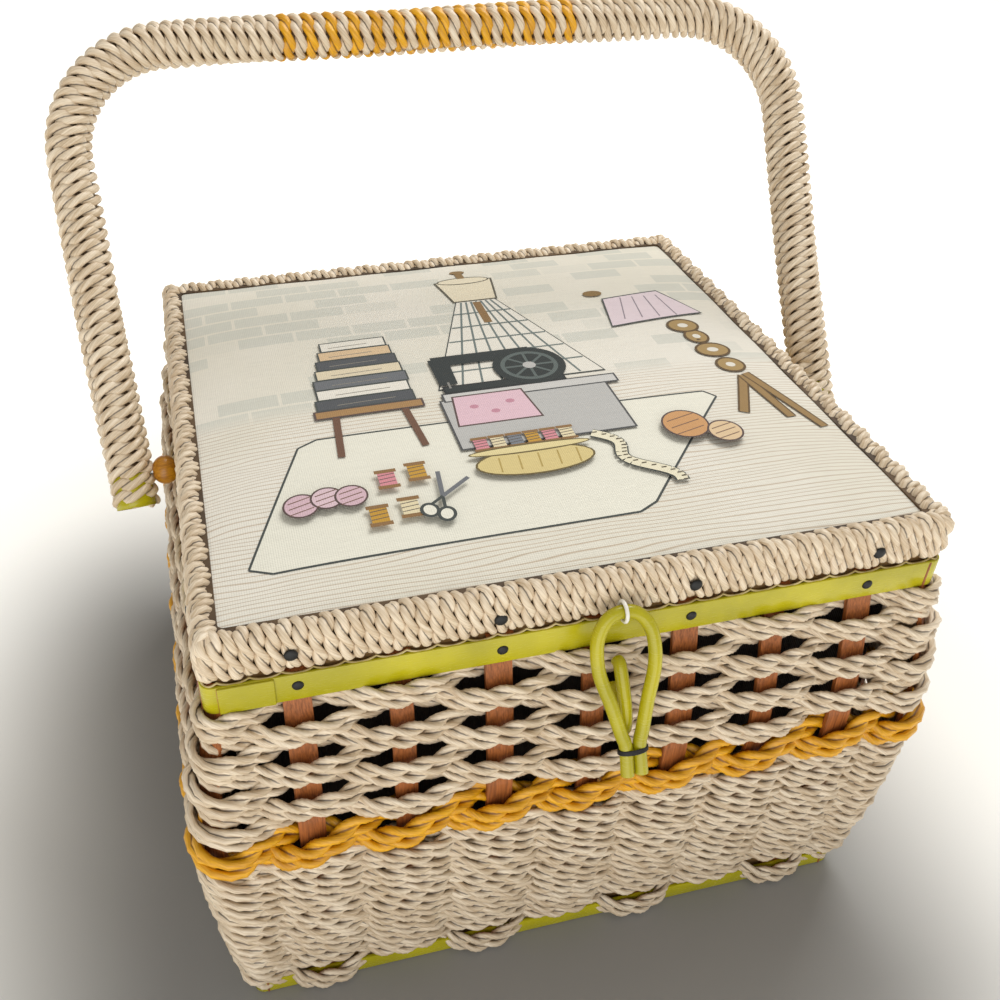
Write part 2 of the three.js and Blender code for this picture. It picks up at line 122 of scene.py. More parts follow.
def wall_offset(height):
    return np.interp(height, WALL_HEIGHTS, WALL_OFFSETS)


# ---------------------------------------------------------------- round-cornered routes
class Track:
    """A route of straight stretches and arcs that all have one radius.

    Each knot says how far along it is, where the arc's centre is and which way is out.
    """

    def __init__(self, knots, radius):
        self.far, self.x, self.y, self.turn = np.array(knots, float).T
        self.length = self.far[-1]
        self.radius = radius

    def at(self, far, outward=0.0):
        """Places and outward directions at those distances, that far outside the route."""
        far = np.asarray(far, float)
        turn = np.interp(far, self.far, self.turn)
        out = np.stack([np.cos(turn), np.sin(turn)], -1)
        middle = np.stack([np.interp(far, self.far, self.x), np.interp(far, self.far, self.y)], -1)
        reach = self.radius + np.broadcast_to(outward, far.shape)
        return middle + out * reach[..., None], out


def rounded_track(half_x, half_y, corner):
    """A rectangle with round corners, from the middle of the front left one round to the right."""
    x, y, arc = half_x - corner, half_y - corner, corner * math.pi / 2
    knots, far = [(0, -x, -y, 1.25 * math.pi)], arc / 2
    corners = [(-x, -y, 1.5, 2 * x), (x, -y, 2, 2 * y), (x, y, 2.5, 2 * x), (-x, y, 3, 2 * y)]
    starts = [(x, -y, 1.5), (x, y, 2), (-x, y, 2.5), (-x, -y, 3)]
    for (from_x, from_y, turn, side), (to_x, to_y, _) in zip(corners, starts):
        knots.append((far, from_x, from_y, turn * math.pi))
        far += side
        knots.append((far, to_x, to_y, turn * math.pi))
        far += arc
    knots.append((far - arc / 2, -x, -y, 3.25 * math.pi))
    return Track(knots, corner)


EDGE = rounded_track(LID_HALF_X, LID_HALF_Y, LID_CORNER)


def stave_stations():
    """Distances round the edge of the corner and face staves, one after the other."""
    side_x, side_y = 2 * (LID_HALF_X - LID_CORNER), 2 * (LID_HALF_Y - LID_CORNER)
    arc = LID_CORNER * math.pi / 2
    stations, far = [], 0.0
    for side, pitch in [(side_x, STAVE_PITCH_X), (side_y, STAVE_PITCH_Y)] * 2:
        stations.append(far)
        middle = far + arc / 2 + side / 2
        stations += [middle + (i - (STAVES_PER_SIDE - 1) / 2) * pitch for i in range(STAVES_PER_SIDE)]
        far += arc + side
    return np.array(stations + [far])


STATIONS = stave_stations()
STAVE_COUNT = len(STATIONS) - 1


def wall_at(station, outward):
    """Places and outward directions on the wall at stave numbers, that far outside the edge."""
    far = np.interp(np.mod(station, STAVE_COUNT), np.arange(STAVE_COUNT + 1), STATIONS)
    return EDGE.at(far, outward)


def space(flat, out, height):
    """Points and directions in space from level ones and a height."""
    height = np.broadcast_to(height, flat.shape[:-1])
    points = np.concatenate([flat, height[..., None]], -1)
    return points, np.concatenate([out, np.zeros_like(height)[..., None]], -1)


# ---------------------------------------------------------------- sweeping a section along a route
def unit(vectors):
    return vectors / np.linalg.norm(vectors, axis=-1, keepdims=True)


def sweep(name, route, out, section, closed, fibre=None, groove=None, capped=True):
    """A mesh that carries a section along a route. Section points are (out, across)."""
    if closed:
        ahead = np.roll(route, -1, 0) - np.roll(route, 1, 0)
    else:
        ahead = np.gradient(route, axis=0)
    tangent = unit(ahead)
    normal = unit(out - tangent * (out * tangent).sum(-1, keepdims=True))
    across = np.cross(tangent, normal)
    points = (route[:, None] + section[..., 0, None] * normal[:, None]
              + section[..., 1, None] * across[:, None])
    rings, sides = points.shape[:2]
    last = rings if closed else rings - 1
    ring, side = np.meshgrid(np.arange(last), np.arange(sides), indexing="ij")
    following, beside = (ring + 1) % rings, (side + 1) % sides
    quads = np.stack([ring * sides + side, ring * sides + beside,
                      following * sides + beside, following * sides + side], -1)
    faces = quads.reshape(-1, 4).tolist()
    if capped and not closed:
        faces.append(list(range(sides))[::-1])
        faces.append(list(range((rings - 1) * sides, rings * sides)))
    mesh = bpy.data.meshes.new(name)
    mesh.from_pydata(points.reshape(-1, 3).tolist(), [], faces)
    mesh.polygons.foreach_set("use_smooth", [True] * len(faces))
    if fibre is not None:
        lie = mesh.attributes.new("fibre", "FLOAT_VECTOR", "POINT")
        lie.data.foreach_set("vector", fibre.astype(np.float32).ravel())
        depth = mesh.attributes.new("groove", "FLOAT", "POINT")
        depth.data.foreach_set("value", groove.astype(np.float32).ravel())
    mesh.validate()
    piece = bpy.data.objects.new(name, mesh)
    bpy.context.scene.collection.objects.link(piece)
    return piece


def strand_pair(radius, apart, points_each):
    """The outline of two strands that touch, and how far into the groove each point lies."""
    half = math.acos(-min(apart / radius, 0.95))
    angle = np.linspace(-half, half, points_each, endpoint=False)
    strand = np.stack([apart + radius * np.cos(angle), radius * np.sin(angle)], -1)
    outline = np.concatenate([strand, -strand])
    groove = np.zeros(2 * points_each)
    groove[[0, points_each]] = 1
    return outline, groove


def twisted_cord(name, route, out, twist, closed, cord, flatten=None, thin=1.0, points_each=7):
    """Two twisted strands along a route. Twist is how far they have turned at each point."""
    outline, groove = strand_pair(thin * cord.strand_radius, thin * cord.strand_apart, points_each)
    cosine, sine = np.cos(twist)[:, None], np.sin(twist)[:, None]
    section = np.stack([outline[:, 0] * cosine - outline[:, 1] * sine,
                        outline[:, 0] * sine + outline[:, 1] * cosine], -1)
    section[..., 0] *= cord.flatten if flatten is None else flatten
    steps = np.linalg.norm(np.diff(route, axis=0), axis=1)
    along = np.concatenate([[0], np.cumsum(steps)])
    fibre = np.empty((len(route), len(outline), 3))
    fibre[..., 0] = along[:, None] + random.uniform(0, 1)
    fibre[..., 1:] = outline
    depth = np.broadcast_to(groove, (len(route), len(outline)))
    return sweep(name, route, out, section, closed, fibre, depth)


def whole_turns(length, twist_length):
    return max(1, round(length / twist_length))


def wander(position, period, size):
    """A small smooth drift that comes back to itself after a period."""
    drift = np.zeros_like(position)
    for _ in range(4):
        waves, start = random.randint(2, 14), random.uniform(0, FULL_TURN)
        drift += np.sin(FULL_TURN * waves * position / period + start)
    return drift * size / 4


def route_through(points, steps):
    """A smooth route through points, with that many steps between each two."""
    points = np.array(points, float)
    ends = np.concatenate([[2 * points[0] - points[1]], points, [2 * points[-1] - points[-2]]])
    share = np.linspace(0, 1, steps, endpoint=False)[:, None]
    parts = []
    for before, start, end, after in zip(ends, ends[1:], ends[2:], ends[3:]):
        parts.append(0.5 * (2 * start + (end - before) * share
                            + (2 * before - 5 * start + 4 * end - after) * share ** 2
                            + (3 * start - before - 3 * end + after) * share ** 3))
    return np.concatenate(parts + [points[-1:]])


def round_section(radius, sides, rings):
    angle = np.arange(sides) * FULL_TURN / sides
    circle = np.stack([np.cos(angle), np.sin(angle)], -1) * radius
    return np.broadcast_to(circle, (rings, sides, 2)).copy()


def round_tube(name, route, out, radius, sides=16, closed=False, wall=0.0):
    """A round tube along a route. With a wall it is hollow and its ends are open."""
    out = np.broadcast_to(np.array(out, float), route.shape)
    piece = sweep(name, route, out, round_section(radius, sides, len(route)), closed,
                  capped=wall == 0)
    if wall:
        use(piece)
        shell = piece.modifiers.new("wall", "SOLIDIFY")
        shell.thickness = wall
        shell.offset = -1
        bpy.ops.object.modifier_apply(modifier=shell.name)
    return piece


# ---------------------------------------------------------------- Blender's operators, made short
def use(piece):
    """Makes one piece the only selected and the active one."""
    bpy.ops.object.select_all(action="DESELECT")
    piece.select_set(True)
    bpy.context.view_layer.objects.active = piece
    return piece


def added(name):
    piece = bpy.context.view_layer.objects.active
    piece.name = name
    piece.data.name = name
    return piece


def settle(piece):
    """Puts the place, turn and scale into the mesh."""
    use(piece)
    bpy.ops.object.transform_apply(location=True, rotation=True, scale=True)
    return piece


def modify(piece, kind, **settings):
    use(piece)
    modifier = piece.modifiers.new(kind.lower(), kind)
    for key, value in settings.items():
        setattr(modifier, key, value)
    bpy.ops.object.modifier_apply(modifier=modifier.name)
    return piece


def smooth(piece, degrees=40):
    use(piece)
    bpy.ops.object.shade_smooth_by_angle(angle=math.radians(degrees))
    return piece


def copies(piece, name, places):
    """One piece made of copies of a small one, each with its own place matrix."""
    pieces = []
    for place in places:
        copy = piece.copy()
        copy.data = piece.data.copy()
        copy.data.transform(place)
        bpy.context.scene.collection.objects.link(copy)
        pieces.append(copy)
    bpy.data.objects.remove(piece)
    return joined(pieces, name)


def joined(pieces, name):
    bpy.ops.object.select_all(action="DESELECT")
    for piece in pieces:
        piece.select_set(True)
    bpy.context.view_layer.objects.active = pieces[0]
    if len(pieces) > 1:
        bpy.ops.object.join()
    return added(name)


def rounded_plate(name, half_x, half_y, corner, height, corner_steps=8):
    """A level sheet with round corners, left in edit mode."""
    bpy.ops.object.select_all(action="DESELECT")
    bpy.ops.mesh.primitive_plane_add(size=2, location=(0, 0, height))
    piece = added(name)
    piece.scale = (half_x, half_y, 1)
    settle(piece)
    bpy.ops.object.mode_set(mode="EDIT")
    bpy.ops.mesh.select_all(action="SELECT")
    bpy.ops.mesh.bevel(offset=corner, offset_type="OFFSET", segments=corner_steps,
                       affect="VERTICES")
    return piece


def rounded_hoop(name, outward, foot, top, thickness, edge, corner_steps=8):
    """A thin upright band that runs round the basket, with softened edges."""
    piece = rounded_plate(name, LID_HALF_X + outward, LID_HALF_Y + outward,
                          LID_CORNER + outward, foot, corner_steps)
    bpy.ops.mesh.select_all(action="SELECT")
    bpy.ops.mesh.delete(type="ONLY_FACE")
    bpy.ops.mesh.select_all(action="SELECT")
    bpy.ops.mesh.extrude_region_move(TRANSFORM_OT_translate={"value": (0, 0, top - foot)})
    bpy.ops.mesh.select_all(action="SELECT")
    bpy.ops.mesh.normals_make_consistent(inside=False)
    bpy.ops.object.mode_set(mode="OBJECT")
    modify(piece, "SOLIDIFY", thickness=thickness, offset=-1)
    modify(piece, "BEVEL", width=edge, segments=2, limit_method="ANGLE",
           angle_limit=math.radians(50))
    return smooth(piece)


def place(piece, body, slot, finish, *nodes):
    """Gives a piece its finish and its body, and hides the nodes that it stands for. The slot is not used."""
    piece.data.materials.clear()
    piece.data.materials.append(finish)
    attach(piece, body)
    if nodes:
        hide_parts(*nodes)
    return piece


def coat(finish, *nodes):
    """Gives model nodes that stay in view their finish."""
    for name in nodes:
        materials = frame["nodes"][name].data.materials
        materials.clear()
        materials.append(finish)


# ---------------------------------------------------------------- wiring of finishes
COLOUR_FACTOR, COLOUR_A, COLOUR_B, COLOUR_RESULT = 0, 6, 7, 2
ATTRIBUTE_VECTOR, ATTRIBUTE_VALUE = 1, 2


def tint(code):
    """A colour written as 0xRRGGBB, in the linear numbers that shaders use."""
    channels = [(code >> shift & 255) / 255 for shift in (16, 8, 0)]
    linear = [c / 12.92 if c <= 0.04045 else ((c + 0.055) / 1.055) ** 2.4 for c in channels]
    return (*linear, 1.0)


class Wire:
    """One output of a node. Ordinary arithmetic on it adds Math nodes."""

    def __init__(self, finish, socket):
        self.finish = finish
        self.socket = socket

    def maths(self, operation, *values):
        return self.finish.node("ShaderNodeMath", {"operation": operation},
                                dict(enumerate(values)))

    def __add__(self, other):
        return self.maths("ADD", self, other)

    def __sub__(self, other):
        return self.maths("SUBTRACT", self, other)

    def __rsub__(self, other):
        return self.maths("SUBTRACT", other, self)

    def __mul__(self, other):
        return self.maths("MULTIPLY", self, other)

    def __pow__(self, other):
        return self.maths("POWER", self, other)

    __radd__ = __add__
    __rmul__ = __mul__

    def sine(self):
        return self.maths("SINE", self)

    def size(self):
        return self.maths("ABSOLUTE", self)

    def at_least(self, other):
        return self.maths("MAXIMUM", self, other)

    def ease(self, low, high):
        """0 below low, 1 above high and smooth between them."""
        return self.finish.node("ShaderNodeMapRange",
                                {"interpolation_type": "SMOOTHSTEP", "clamp": True},
                                {0: self, 1: low, 2: high, 3: 0.0, 4: 1.0})


class Finish:
    """A material while it is wired."""

    def __init__(self, name):
        self.material = bpy.data.materials.new(name)
        self.material.use_nodes = True
        self.tree = self.material.node_tree
        self.tree.nodes.clear()

    def node(self, kind, settings=None, sockets=None, result=0):
        """Adds a node, with its settings first, and returns one of its outputs."""
        node = self.tree.nodes.new(kind)
        for key, value in (settings or {}).items():
            setattr(node, key, value)
        for key, value in (sockets or {}).items():
            if isinstance(value, Wire):
                self.tree.links.new(value.socket, node.inputs[key])
            else:
                node.inputs[key].default_value = value
        return Wire(self, node.outputs[result]) if node.outputs else node

    def place(self):
        """The piece's own place, in millimetres."""
        where = self.node("ShaderNodeTexCoord", result=3)
        return self.node("ShaderNodeVectorMath", {"operation": "SCALE"}, {0: where, 3: 1 / MM})

    def stretch(self, vector, scale):
        return self.node("ShaderNodeMapping", {"vector_type": "POINT"},
                         {"Vector": vector, "Scale": scale})

    def parts(self, vector):
        node = self.tree.nodes.new("ShaderNodeSeparateXYZ")
        self.tree.links.new(vector.socket, node.inputs[0])
        return [Wire(self, output) for output in node.outputs]

    def noise(self, vector, scale=1.0, detail=2.0, roughness=0.5):
        return self.node("ShaderNodeTexNoise", {},
                         {"Vector": vector, "Scale": scale, "Detail": detail,
                          "Roughness": roughness})

    def attribute(self, name, result):
        return self.node("ShaderNodeAttribute", {"attribute_name": name}, result=result)

    def blend(self, factor, low, high, mode="MIX"):
        return self.node("ShaderNodeMix", {"data_type": "RGBA", "blend_type": mode},
                         {COLOUR_FACTOR: factor, COLOUR_A: low, COLOUR_B: high}, COLOUR_RESULT)

    def bump(self, height, distance, strength=1.0):
        return self.node("ShaderNodeBump", {},
                         {"Height": height, "Distance": distance, "Strength": strength})

    def shade(self, colour, roughness, normal=None, **fixed):
        """Ends the material in a Principled shader. Fixed values stay on its own sockets."""
        sockets = {"Base Color": colour, "Roughness": roughness}
        if normal is not None:
            sockets["Normal"] = normal
        sockets.update({key.replace("_", " "): value for key, value in fixed.items()})
        shader = self.node("ShaderNodeBsdfPrincipled", {}, sockets)
        self.node("ShaderNodeOutputMaterial", {}, {"Surface": shader})
        return self.material


# ---------------------------------------------------------------- finishes
def cord_finish(name, light, dark, painted_groove_shade):
    """Twisted paper cord: fine lengthwise fibres, patchy colour and painted shade in the grooves."""
    f = Finish(name)
    lie = f.attribute("fibre", ATTRIBUTE_VECTOR)
    groove = f.attribute("groove", ATTRIBUTE_VALUE)
    fibres = f.noise(f.stretch(lie, (70, 1500, 1500)), 1.0, 3.0, 0.6)
    patches = f.noise(f.stretch(lie, (45, 260, 260)), 1.0, 2.0)
    shade = fibres.ease(0.32, 0.68) * 0.55 + patches.ease(0.35, 0.7) * 0.45
    colour = f.blend(shade, dark, light)
    # Painted shade: the colour goes dark in the groove between the two strands.
    colour = f.blend(groove.ease(0.35, 1.0) * 0.85, colour, painted_groove_shade)
    roughness = 0.56 - fibres * 0.3
    normal = f.bump(fibres - groove * 0.6, 0.35 * MM, 0.7)
    return f.shade(colour, roughness, normal, Specular_IOR_Level=0.6)


def plastic_finish(name, light, dark, roughness=0.22):
    """Moulded plastic: slight clouding, faint ripples and handling marks in the gloss."""
    f = Finish(name)
    where = f.place()
    clouds = f.noise(where, 0.035, 3.0)
    scuffs = f.noise(f.stretch(where, (0.25, 0.25, 2.2)), 1.0, 4.0, 0.65)
    colour = f.blend(clouds.ease(0.3, 0.7), dark, light)
    gloss = scuffs.ease(0.5, 0.8) * 0.22 + roughness
    ripple = f.noise(where, 0.18, 2.0)
    return f.shade(colour, gloss, f.bump(ripple, 0.3 * MM, 0.35), Specular_IOR_Level=0.5)


def wood_finish(name, light, dark, grain_along, roughness=0.5):
    """Split wood: long streaks, pores and a dull wiped surface."""
    f = Finish(name)
    where = f.place()
    streaks = f.noise(f.stretch(where, grain_along), 1.0, 4.0, 0.62)
    clouds = f.noise(where, 0.06, 2.0)
    shade = streaks.ease(0.34, 0.66) * 0.8 + clouds * 0.2
    pores = streaks.ease(0.58, 0.62)
    colour = f.blend(shade, light, dark)
    return f.shade(colour, pores * 0.15 + roughness, f.bump(streaks, 0.25 * MM, 0.5))


def metal_finish(name, colour, dull, roughness=0.28):
    """Plated metal with brushed streaks and dull spots."""
    f = Finish(name)
    where = f.place()
    brushed = f.noise(f.stretch(where, (0.15, 3.0, 3.0)), 1.0, 3.0)
    spots = f.noise(where, 0.5, 4.0, 0.7).ease(0.55, 0.75)
    return f.shade(f.blend(spots, colour, dull), brushed * 0.25 + spots * 0.2 + roughness,
                   f.bump(brushed, 0.05 * MM, 0.4), Metallic=1.0)


def weave_height(f, where, pitch):
    """Over-and-under threads of a plain cloth, from 0 to 1."""
    x, y, _ = f.parts(where)
    across = (x * (math.pi / pitch)).sine()
    up = (y * (math.pi / pitch)).sine()
    return (across * up).size() * 0.5 + (across.size() + up.size()) * 0.25


def cloth_finish(name, light, dark, pitch=0.9, roughness=0.85):
    """Plain woven cloth with slubs and a soft sheen."""
    f = Finish(name)
    where = f.place()
    threads = weave_height(f, where, pitch)
    slubs = f.noise(f.stretch(where, (0.12, 1.6, 1.0)), 1.0, 2.0)
    clouds = f.noise(where, 0.03, 3.0)
    # The threads term is painted shade in the low parts of the weave; slubs and clouds are the cloth's own
    # tone.
    shade = threads * 0.45 + slubs.ease(0.3, 0.7) * 0.3 + clouds * 0.25
    return f.shade(f.blend(shade, dark, light), roughness, f.bump(threads, 0.25 * MM, 0.6),
                   Sheen_Weight=0.25, Sheen_Roughness=0.5)


def printed_cloth_finish(name, ink=False):
    """The lid's woven cotton: a pale brick wall behind and a wood-grain floor in front.

    With ink the colour comes from the piece's own paint attribute instead.
    """
    f = Finish(name)
    where = f.place()
    threads = weave_height(f, where, 0.85)
    slubs = f.noise(f.stretch(where, (0.1, 1.9, 1.0)), 1.0, 2.0)
    _, y, _ = f.parts(where)
    if ink:
        colour = f.attribute("paint", 0)
    else:
        ground = f.blend(f.noise(where, 0.012, 2.0).ease(0.35, 0.65), tint(0xE7E1D0), tint(0xECE6D8))
        bricks = f.node("ShaderNodeTexBrick", {"offset": 0.5},
                        {"Vector": where, "Color1": (0, 0, 0, 1), "Color2": (1, 1, 1, 1),
                         "Mortar": (0, 0, 0, 1), "Scale": 1.0, "Mortar Size": 0.9,
                         "Mortar Smooth": 0.3, "Brick Width": 27.0, "Row Height": 10.5,
                         "Bias": -0.15})
        chosen = bricks.ease(0.3, 0.5) * y.ease(-14.0, 2.0)
        ground = f.blend(chosen * 0.55, ground, tint(0xC6C8BC))
        grain = f.node("ShaderNodeTexWave", {"wave_type": "BANDS", "bands_direction": "Y"},
                       {"Vector": f.stretch(where, (0.12, 0.62, 1.0)), "Scale": 0.11,
                        "Distortion": 7.0, "Detail": 1.5, "Detail Scale": 0.9}, 1)
        lines = (1 - (grain - 0.5).size().ease(0.02, 0.26)) * (1 - y.ease(-14.0, -2.0))
        colour = f.blend(lines * 0.8, ground, tint(0xBFA88C))
    # Painted shadow in the low parts of the weave, plus the slubs' own darker tone.
    shadow = 1 - (1 - threads) * 0.16 - slubs.ease(0.35, 0.75) * 0.05
    grey = f.node("ShaderNodeCombineColor", {}, {0: shadow, 1: shadow, 2: shadow})
    colour = f.blend(1.0, colour, grey, "MULTIPLY")
    return f.shade(colour, 0.82, f.bump(threads, 0.22 * MM, 0.55), Sheen_Weight=0.15)


def velvet_finish(name, light, dark):
    """Short pile with rubbed patches."""
    f = Finish(name)
    where = f.place()
    pile = f.noise(where, 2.2, 2.0)
    rubbed = f.noise(where, 0.05, 3.0).ease(0.3, 0.75)
    colour = f.blend(rubbed * 0.25 + pile * 0.4 + 0.25, dark, light)
    return f.shade(colour, 0.9, f.bump(pile, 0.4 * MM, 0.7), Sheen_Weight=0.8,
                   Sheen_Roughness=0.35)


class Shelf:
    """Every finish, made once."""

    def fill(self, colours):
        self.cord = cord_finish("paper_cord", colours.cord_light, colours.cord_dark, colours.cord_painted_groove_shade)
        # The last colour is painted shade for the ochre cord's grooves.
        self.ochre_cord = cord_finish("ochre_cord", colours.ochre_light, colours.ochre_dark,
                                      tint(0x5A3004))
        self.thread = plastic_finish("trim_thread", tint(0xCDBB86), tint(0x94804A), 0.5)
        # Painted shade: a dark brown for the gaps between the handle's turns and between the lid's cloth and
        # its wound edge.
        self.shade = plastic_finish("painted_gap_shade", tint(0x5C4529), tint(0x3B2A16), 0.7)
        # Painted shade: a near-black sheet behind the weave, so the gaps between the staves look dark.
        self.shade_backing = cloth_finish("lining_shade_backing", tint(0x2A2016), tint(0x17110A))
        self.lime = plastic_finish("lime_plastic", colours.lime_light, colours.lime_dark)
        self.stave = wood_finish("stave_wood", tint(0xAE6530), tint(0x7A431B), (1.6, 1.6, 0.07))
        self.pale_wood = wood_finish("pale_wood", tint(0xCBA574), tint(0x9C7443), (0.05, 1.2, 1.2))
        self.ochre_wood = wood_finish("ochre_wood", tint(0xC98A22), tint(0x9A5F10),
                                      (0.1, 0.9, 0.9), 0.28)
        self.print = printed_cloth_finish("printed_cloth")
        self.ink = printed_cloth_finish("printed_ink", True)
        self.lining = cloth_finish("lining_cloth", tint(0xE4D8BC), tint(0xC4B48F))
        self.velvet = velvet_finish("velvet", tint(0xC08A22), tint(0x7A4E0C))
        self.tray = plastic_finish("tray_plastic", tint(0xEFE9D8), tint(0xDDD4BC), 0.3)
        self.white = plastic_finish("white_plastic", tint(0xF4F2EC), tint(0xE2DED2), 0.25)
        self.black = plastic_finish("black_enamel", tint(0x0B0A08), tint(0x030302), 0.55)
        self.brass = metal_finish("brass", tint(0xC9A55A), tint(0x8A6A34))
        self.steel = metal_finish("steel", tint(0xB9B9B7), tint(0x77756F))


shelf = Shelf()


# ---------------------------------------------------------------- what a user would change
class BasketColours(bpy.types.PropertyGroup):
    """Colours of the basket."""

    cord_light: FloatVectorProperty(name="Cord, light", description="Fibres that catch light",
                                    subtype="COLOR", size=4, min=0, max=1, default=tint(0xEFDFC6))
    cord_dark: FloatVectorProperty(name="Cord, dark", description="Fibres between them",
                                   subtype="COLOR", size=4, min=0, max=1, default=tint(0xBFA684))
    # Painted shade: the dark colour laid in the groove between the two strands.
    cord_painted_groove_shade: FloatVectorProperty(name="Cord, groove", description="Between the two strands",
                                   subtype="COLOR", size=4, min=0, max=1, default=tint(0x2A190C))
    ochre_light: FloatVectorProperty(name="Ochre, light", description="Braid, where it is lit",
                                     subtype="COLOR", size=4, min=0, max=1, default=tint(0xF2B40E))
    ochre_dark: FloatVectorProperty(name="Ochre, dark", description="Braid, between the fibres",
                                    subtype="COLOR", size=4, min=0, max=1, default=tint(0xC68805))
    lime_light: FloatVectorProperty(name="Lime, light", description="Plastic bands and latch",
                                    subtype="COLOR", size=4, min=0, max=1, default=tint(0xBDB216))
    lime_dark: FloatVectorProperty(name="Lime, dark", description="Clouds in the plastic",
                                   subtype="COLOR", size=4, min=0, max=1, default=tint(0xA39A10))


class CordSizes(bpy.types.PropertyGroup):
    """Sizes of the paper cord."""

    strand_radius: FloatProperty(name="Strand radius", description="Half a strand's thickness",
                                 unit="LENGTH", min=0.0005, max=0.005, default=1.7 * MM)
    strand_apart: FloatProperty(name="Strand spacing", description="From the middle to a strand",
                                unit="LENGTH", min=0.0003, max=0.005, default=1.42 * MM)
    flatten: FloatProperty(name="Flatten", description="Thickness kept where it is pulled tight",
                           subtype="FACTOR", min=0.4, max=1, default=0.82)
    twist_length: FloatProperty(name="Twist length", description="Length of one full twist",
                                unit="LENGTH", min=0.005, max=0.1, default=18.5 * MM)
    step: FloatProperty(name="Step", description="Length of cord between two rings of the mesh",
                        unit="LENGTH", min=0.001, max=0.01, default=2.0 * MM)


class WeaveSizes(bpy.types.PropertyGroup):
    """Sizes of the woven wall."""

    upper_rows: IntProperty(name="Upper rows", description="Rows between the braid and the band",
                            min=1, max=20, default=7)
    lower_rows: IntProperty(name="Lower rows", description="Rows between the base and the braid",
                            min=1, max=40, default=15)
    swing: FloatProperty(name="Swing", description="How far a cord goes before and behind a stave",
                         unit="LENGTH", min=0, max=0.01, default=4.5 * MM)
    side_by_side: FloatProperty(name="Pair spacing", description="Between the two cords of a row",
                                unit="LENGTH", min=0.001, max=0.01, default=4.6 * MM)
    braid_swing: FloatProperty(name="Braid swing", description="How far the braid swings out",
                               unit="LENGTH", min=0, max=0.02, default=4.4 * MM)
    braid_rise: FloatProperty(name="Braid rise", description="How far the braid climbs and dips",
                              unit="LENGTH", min=0, max=0.02, default=4.4 * MM)


class WindingSizes(bpy.types.PropertyGroup):
    """Sizes of the cord wound round the lid's edge and the handle."""

    lid_pitch: FloatProperty(name="Lid's turn pitch", description="From one turn to the next",
                             unit="LENGTH", min=0.002, max=0.02, default=4.55 * MM)
    turn_pitch: FloatProperty(name="Handle's turn pitch", description="From one turn to the next",
                              unit="LENGTH", min=0.002, max=0.02, default=5.05 * MM)
    steps_per_turn: IntProperty(name="Steps per turn", description="Rings of the mesh in one turn",
                                min=8, max=60, default=22)
    grip_radius: FloatProperty(name="Grip radius", description="Half the wound handle's thickness",
                               unit="LENGTH", min=0.005, max=0.02, default=9.3 * MM)
    bend_radius: FloatProperty(name="Bend radius", description="Of the handle's upper corners",
                               unit="LENGTH", min=0.01, max=0.1, default=46 * MM)
    ochre_turns: IntProperty(name="Ochre turns", description="Coloured turns in the middle",
                             min=0, max=40, default=14)
    nail_radius: FloatProperty(name="Nail radius", description="Half a nail head's width",
                               unit="LENGTH", min=0.0005, max=0.005, default=2.1 * MM)


class StageSizes(bpy.types.PropertyGroup):
    """The camera, the lights and the floor."""

    lens: FloatProperty(name="Lens", description="Focal length", min=10, max=200, default=37.457)
    key_power: FloatProperty(name="Key light", description="Power in watts", min=0, max=500,
                             default=12.0)
    fill_power: FloatProperty(name="Fill light", description="Power in watts", min=0, max=500,
                              default=8.0)
    sky: FloatProperty(name="Surrounding light", description="Strength", min=0, max=5, default=0.45)


# ---------------------------------------------------------------- the woven wall
def woven_row(name, height, front_first, cord, weave, droop=0.0):
    """A row: two cords side by side that pass before one stave and behind the next."""
    middle = wall_offset(height) - STAVE_THICKNESS / 2
    steps = round(EDGE.length / cord.step)
    start = CORD_START_STAVE if front_first else CORD_START_STAVE + 1
    station = start + STAVE_COUNT * np.arange(steps) / steps
    phase = math.pi * (station + (0 if front_first else 1))
    crest = np.tanh(CREST_SHARPNESS * np.cos(phase)) / math.tanh(CREST_SHARPNESS)
    # At a corner every row passes before the stave.
    half_side = CORNER_TO_CORNER / 2
    from_corner = np.abs((station + half_side) % CORNER_TO_CORNER - half_side)
    at_corner = np.clip(1.6 - 2 * from_corner, 0, 1)
    crest = crest + (np.maximum(crest, CORNER_CREST) - crest) * at_corner
    crest = np.where(crest < 0, SWING_KEPT_BEHIND * crest, crest)
    turns = whole_turns(EDGE.length, cord.twist_length)
    pieces = []
    for which in (-1, 1):
        outward = middle + crest * weave.swing + wander(station, STAVE_COUNT, 0.25 * MM)
        spread = weave.side_by_side / 2 * (1 + 0.10 * crest)
        up = height + which * spread + wander(station, STAVE_COUNT, 0.45 * MM)
        up = up - droop * np.maximum(crest, 0)
        outward = outward + 0.5 * droop * np.maximum(crest, 0)
        flat, out = wall_at(station, outward)
        route, out = space(flat, out, up)
        twist = FULL_TURN * turns * np.arange(steps) / steps + random.uniform(0, FULL_TURN)
        pieces.append(twisted_cord(name, route, out, twist, True, cord))
    return joined(pieces, name)


def braid(name, cord, weave):
    """Two pairs of thick ochre cords that wind round each other and round the staves."""
    height = (BRAID_LOW[2] + BRAID_HIGH[2]) / 2
    middle = wall_offset(height) - STAVE_THICKNESS / 2 + 1.0 * MM
    steps = round(EDGE.length / cord.step)
    station = CORD_START_STAVE + STAVE_COUNT * np.arange(steps) / steps
    turns = whole_turns(EDGE.length, 1.15 * cord.twist_length)
    pieces = []
    for pair in (0, 1):
        phase = math.pi * (station - 1 + pair)
        for which in (-1, 1):
            outward = middle + weave.braid_swing * np.cos(phase) + wander(station, STAVE_COUNT, 0.3 * MM)
            up = height + weave.braid_rise * np.sin(phase - 0.5)
            up = up + which * 2.6 * MM + wander(station, STAVE_COUNT, 0.5 * MM)
            flat, out = wall_at(station, outward)
            route, out = space(flat, out, up)
            twist = FULL_TURN * turns * np.arange(steps) / steps + random.uniform(0, FULL_TURN)
            pieces.append(twisted_cord(name, route, out, twist, True, cord, 0.95, 1.15))
    return joined(pieces, name)


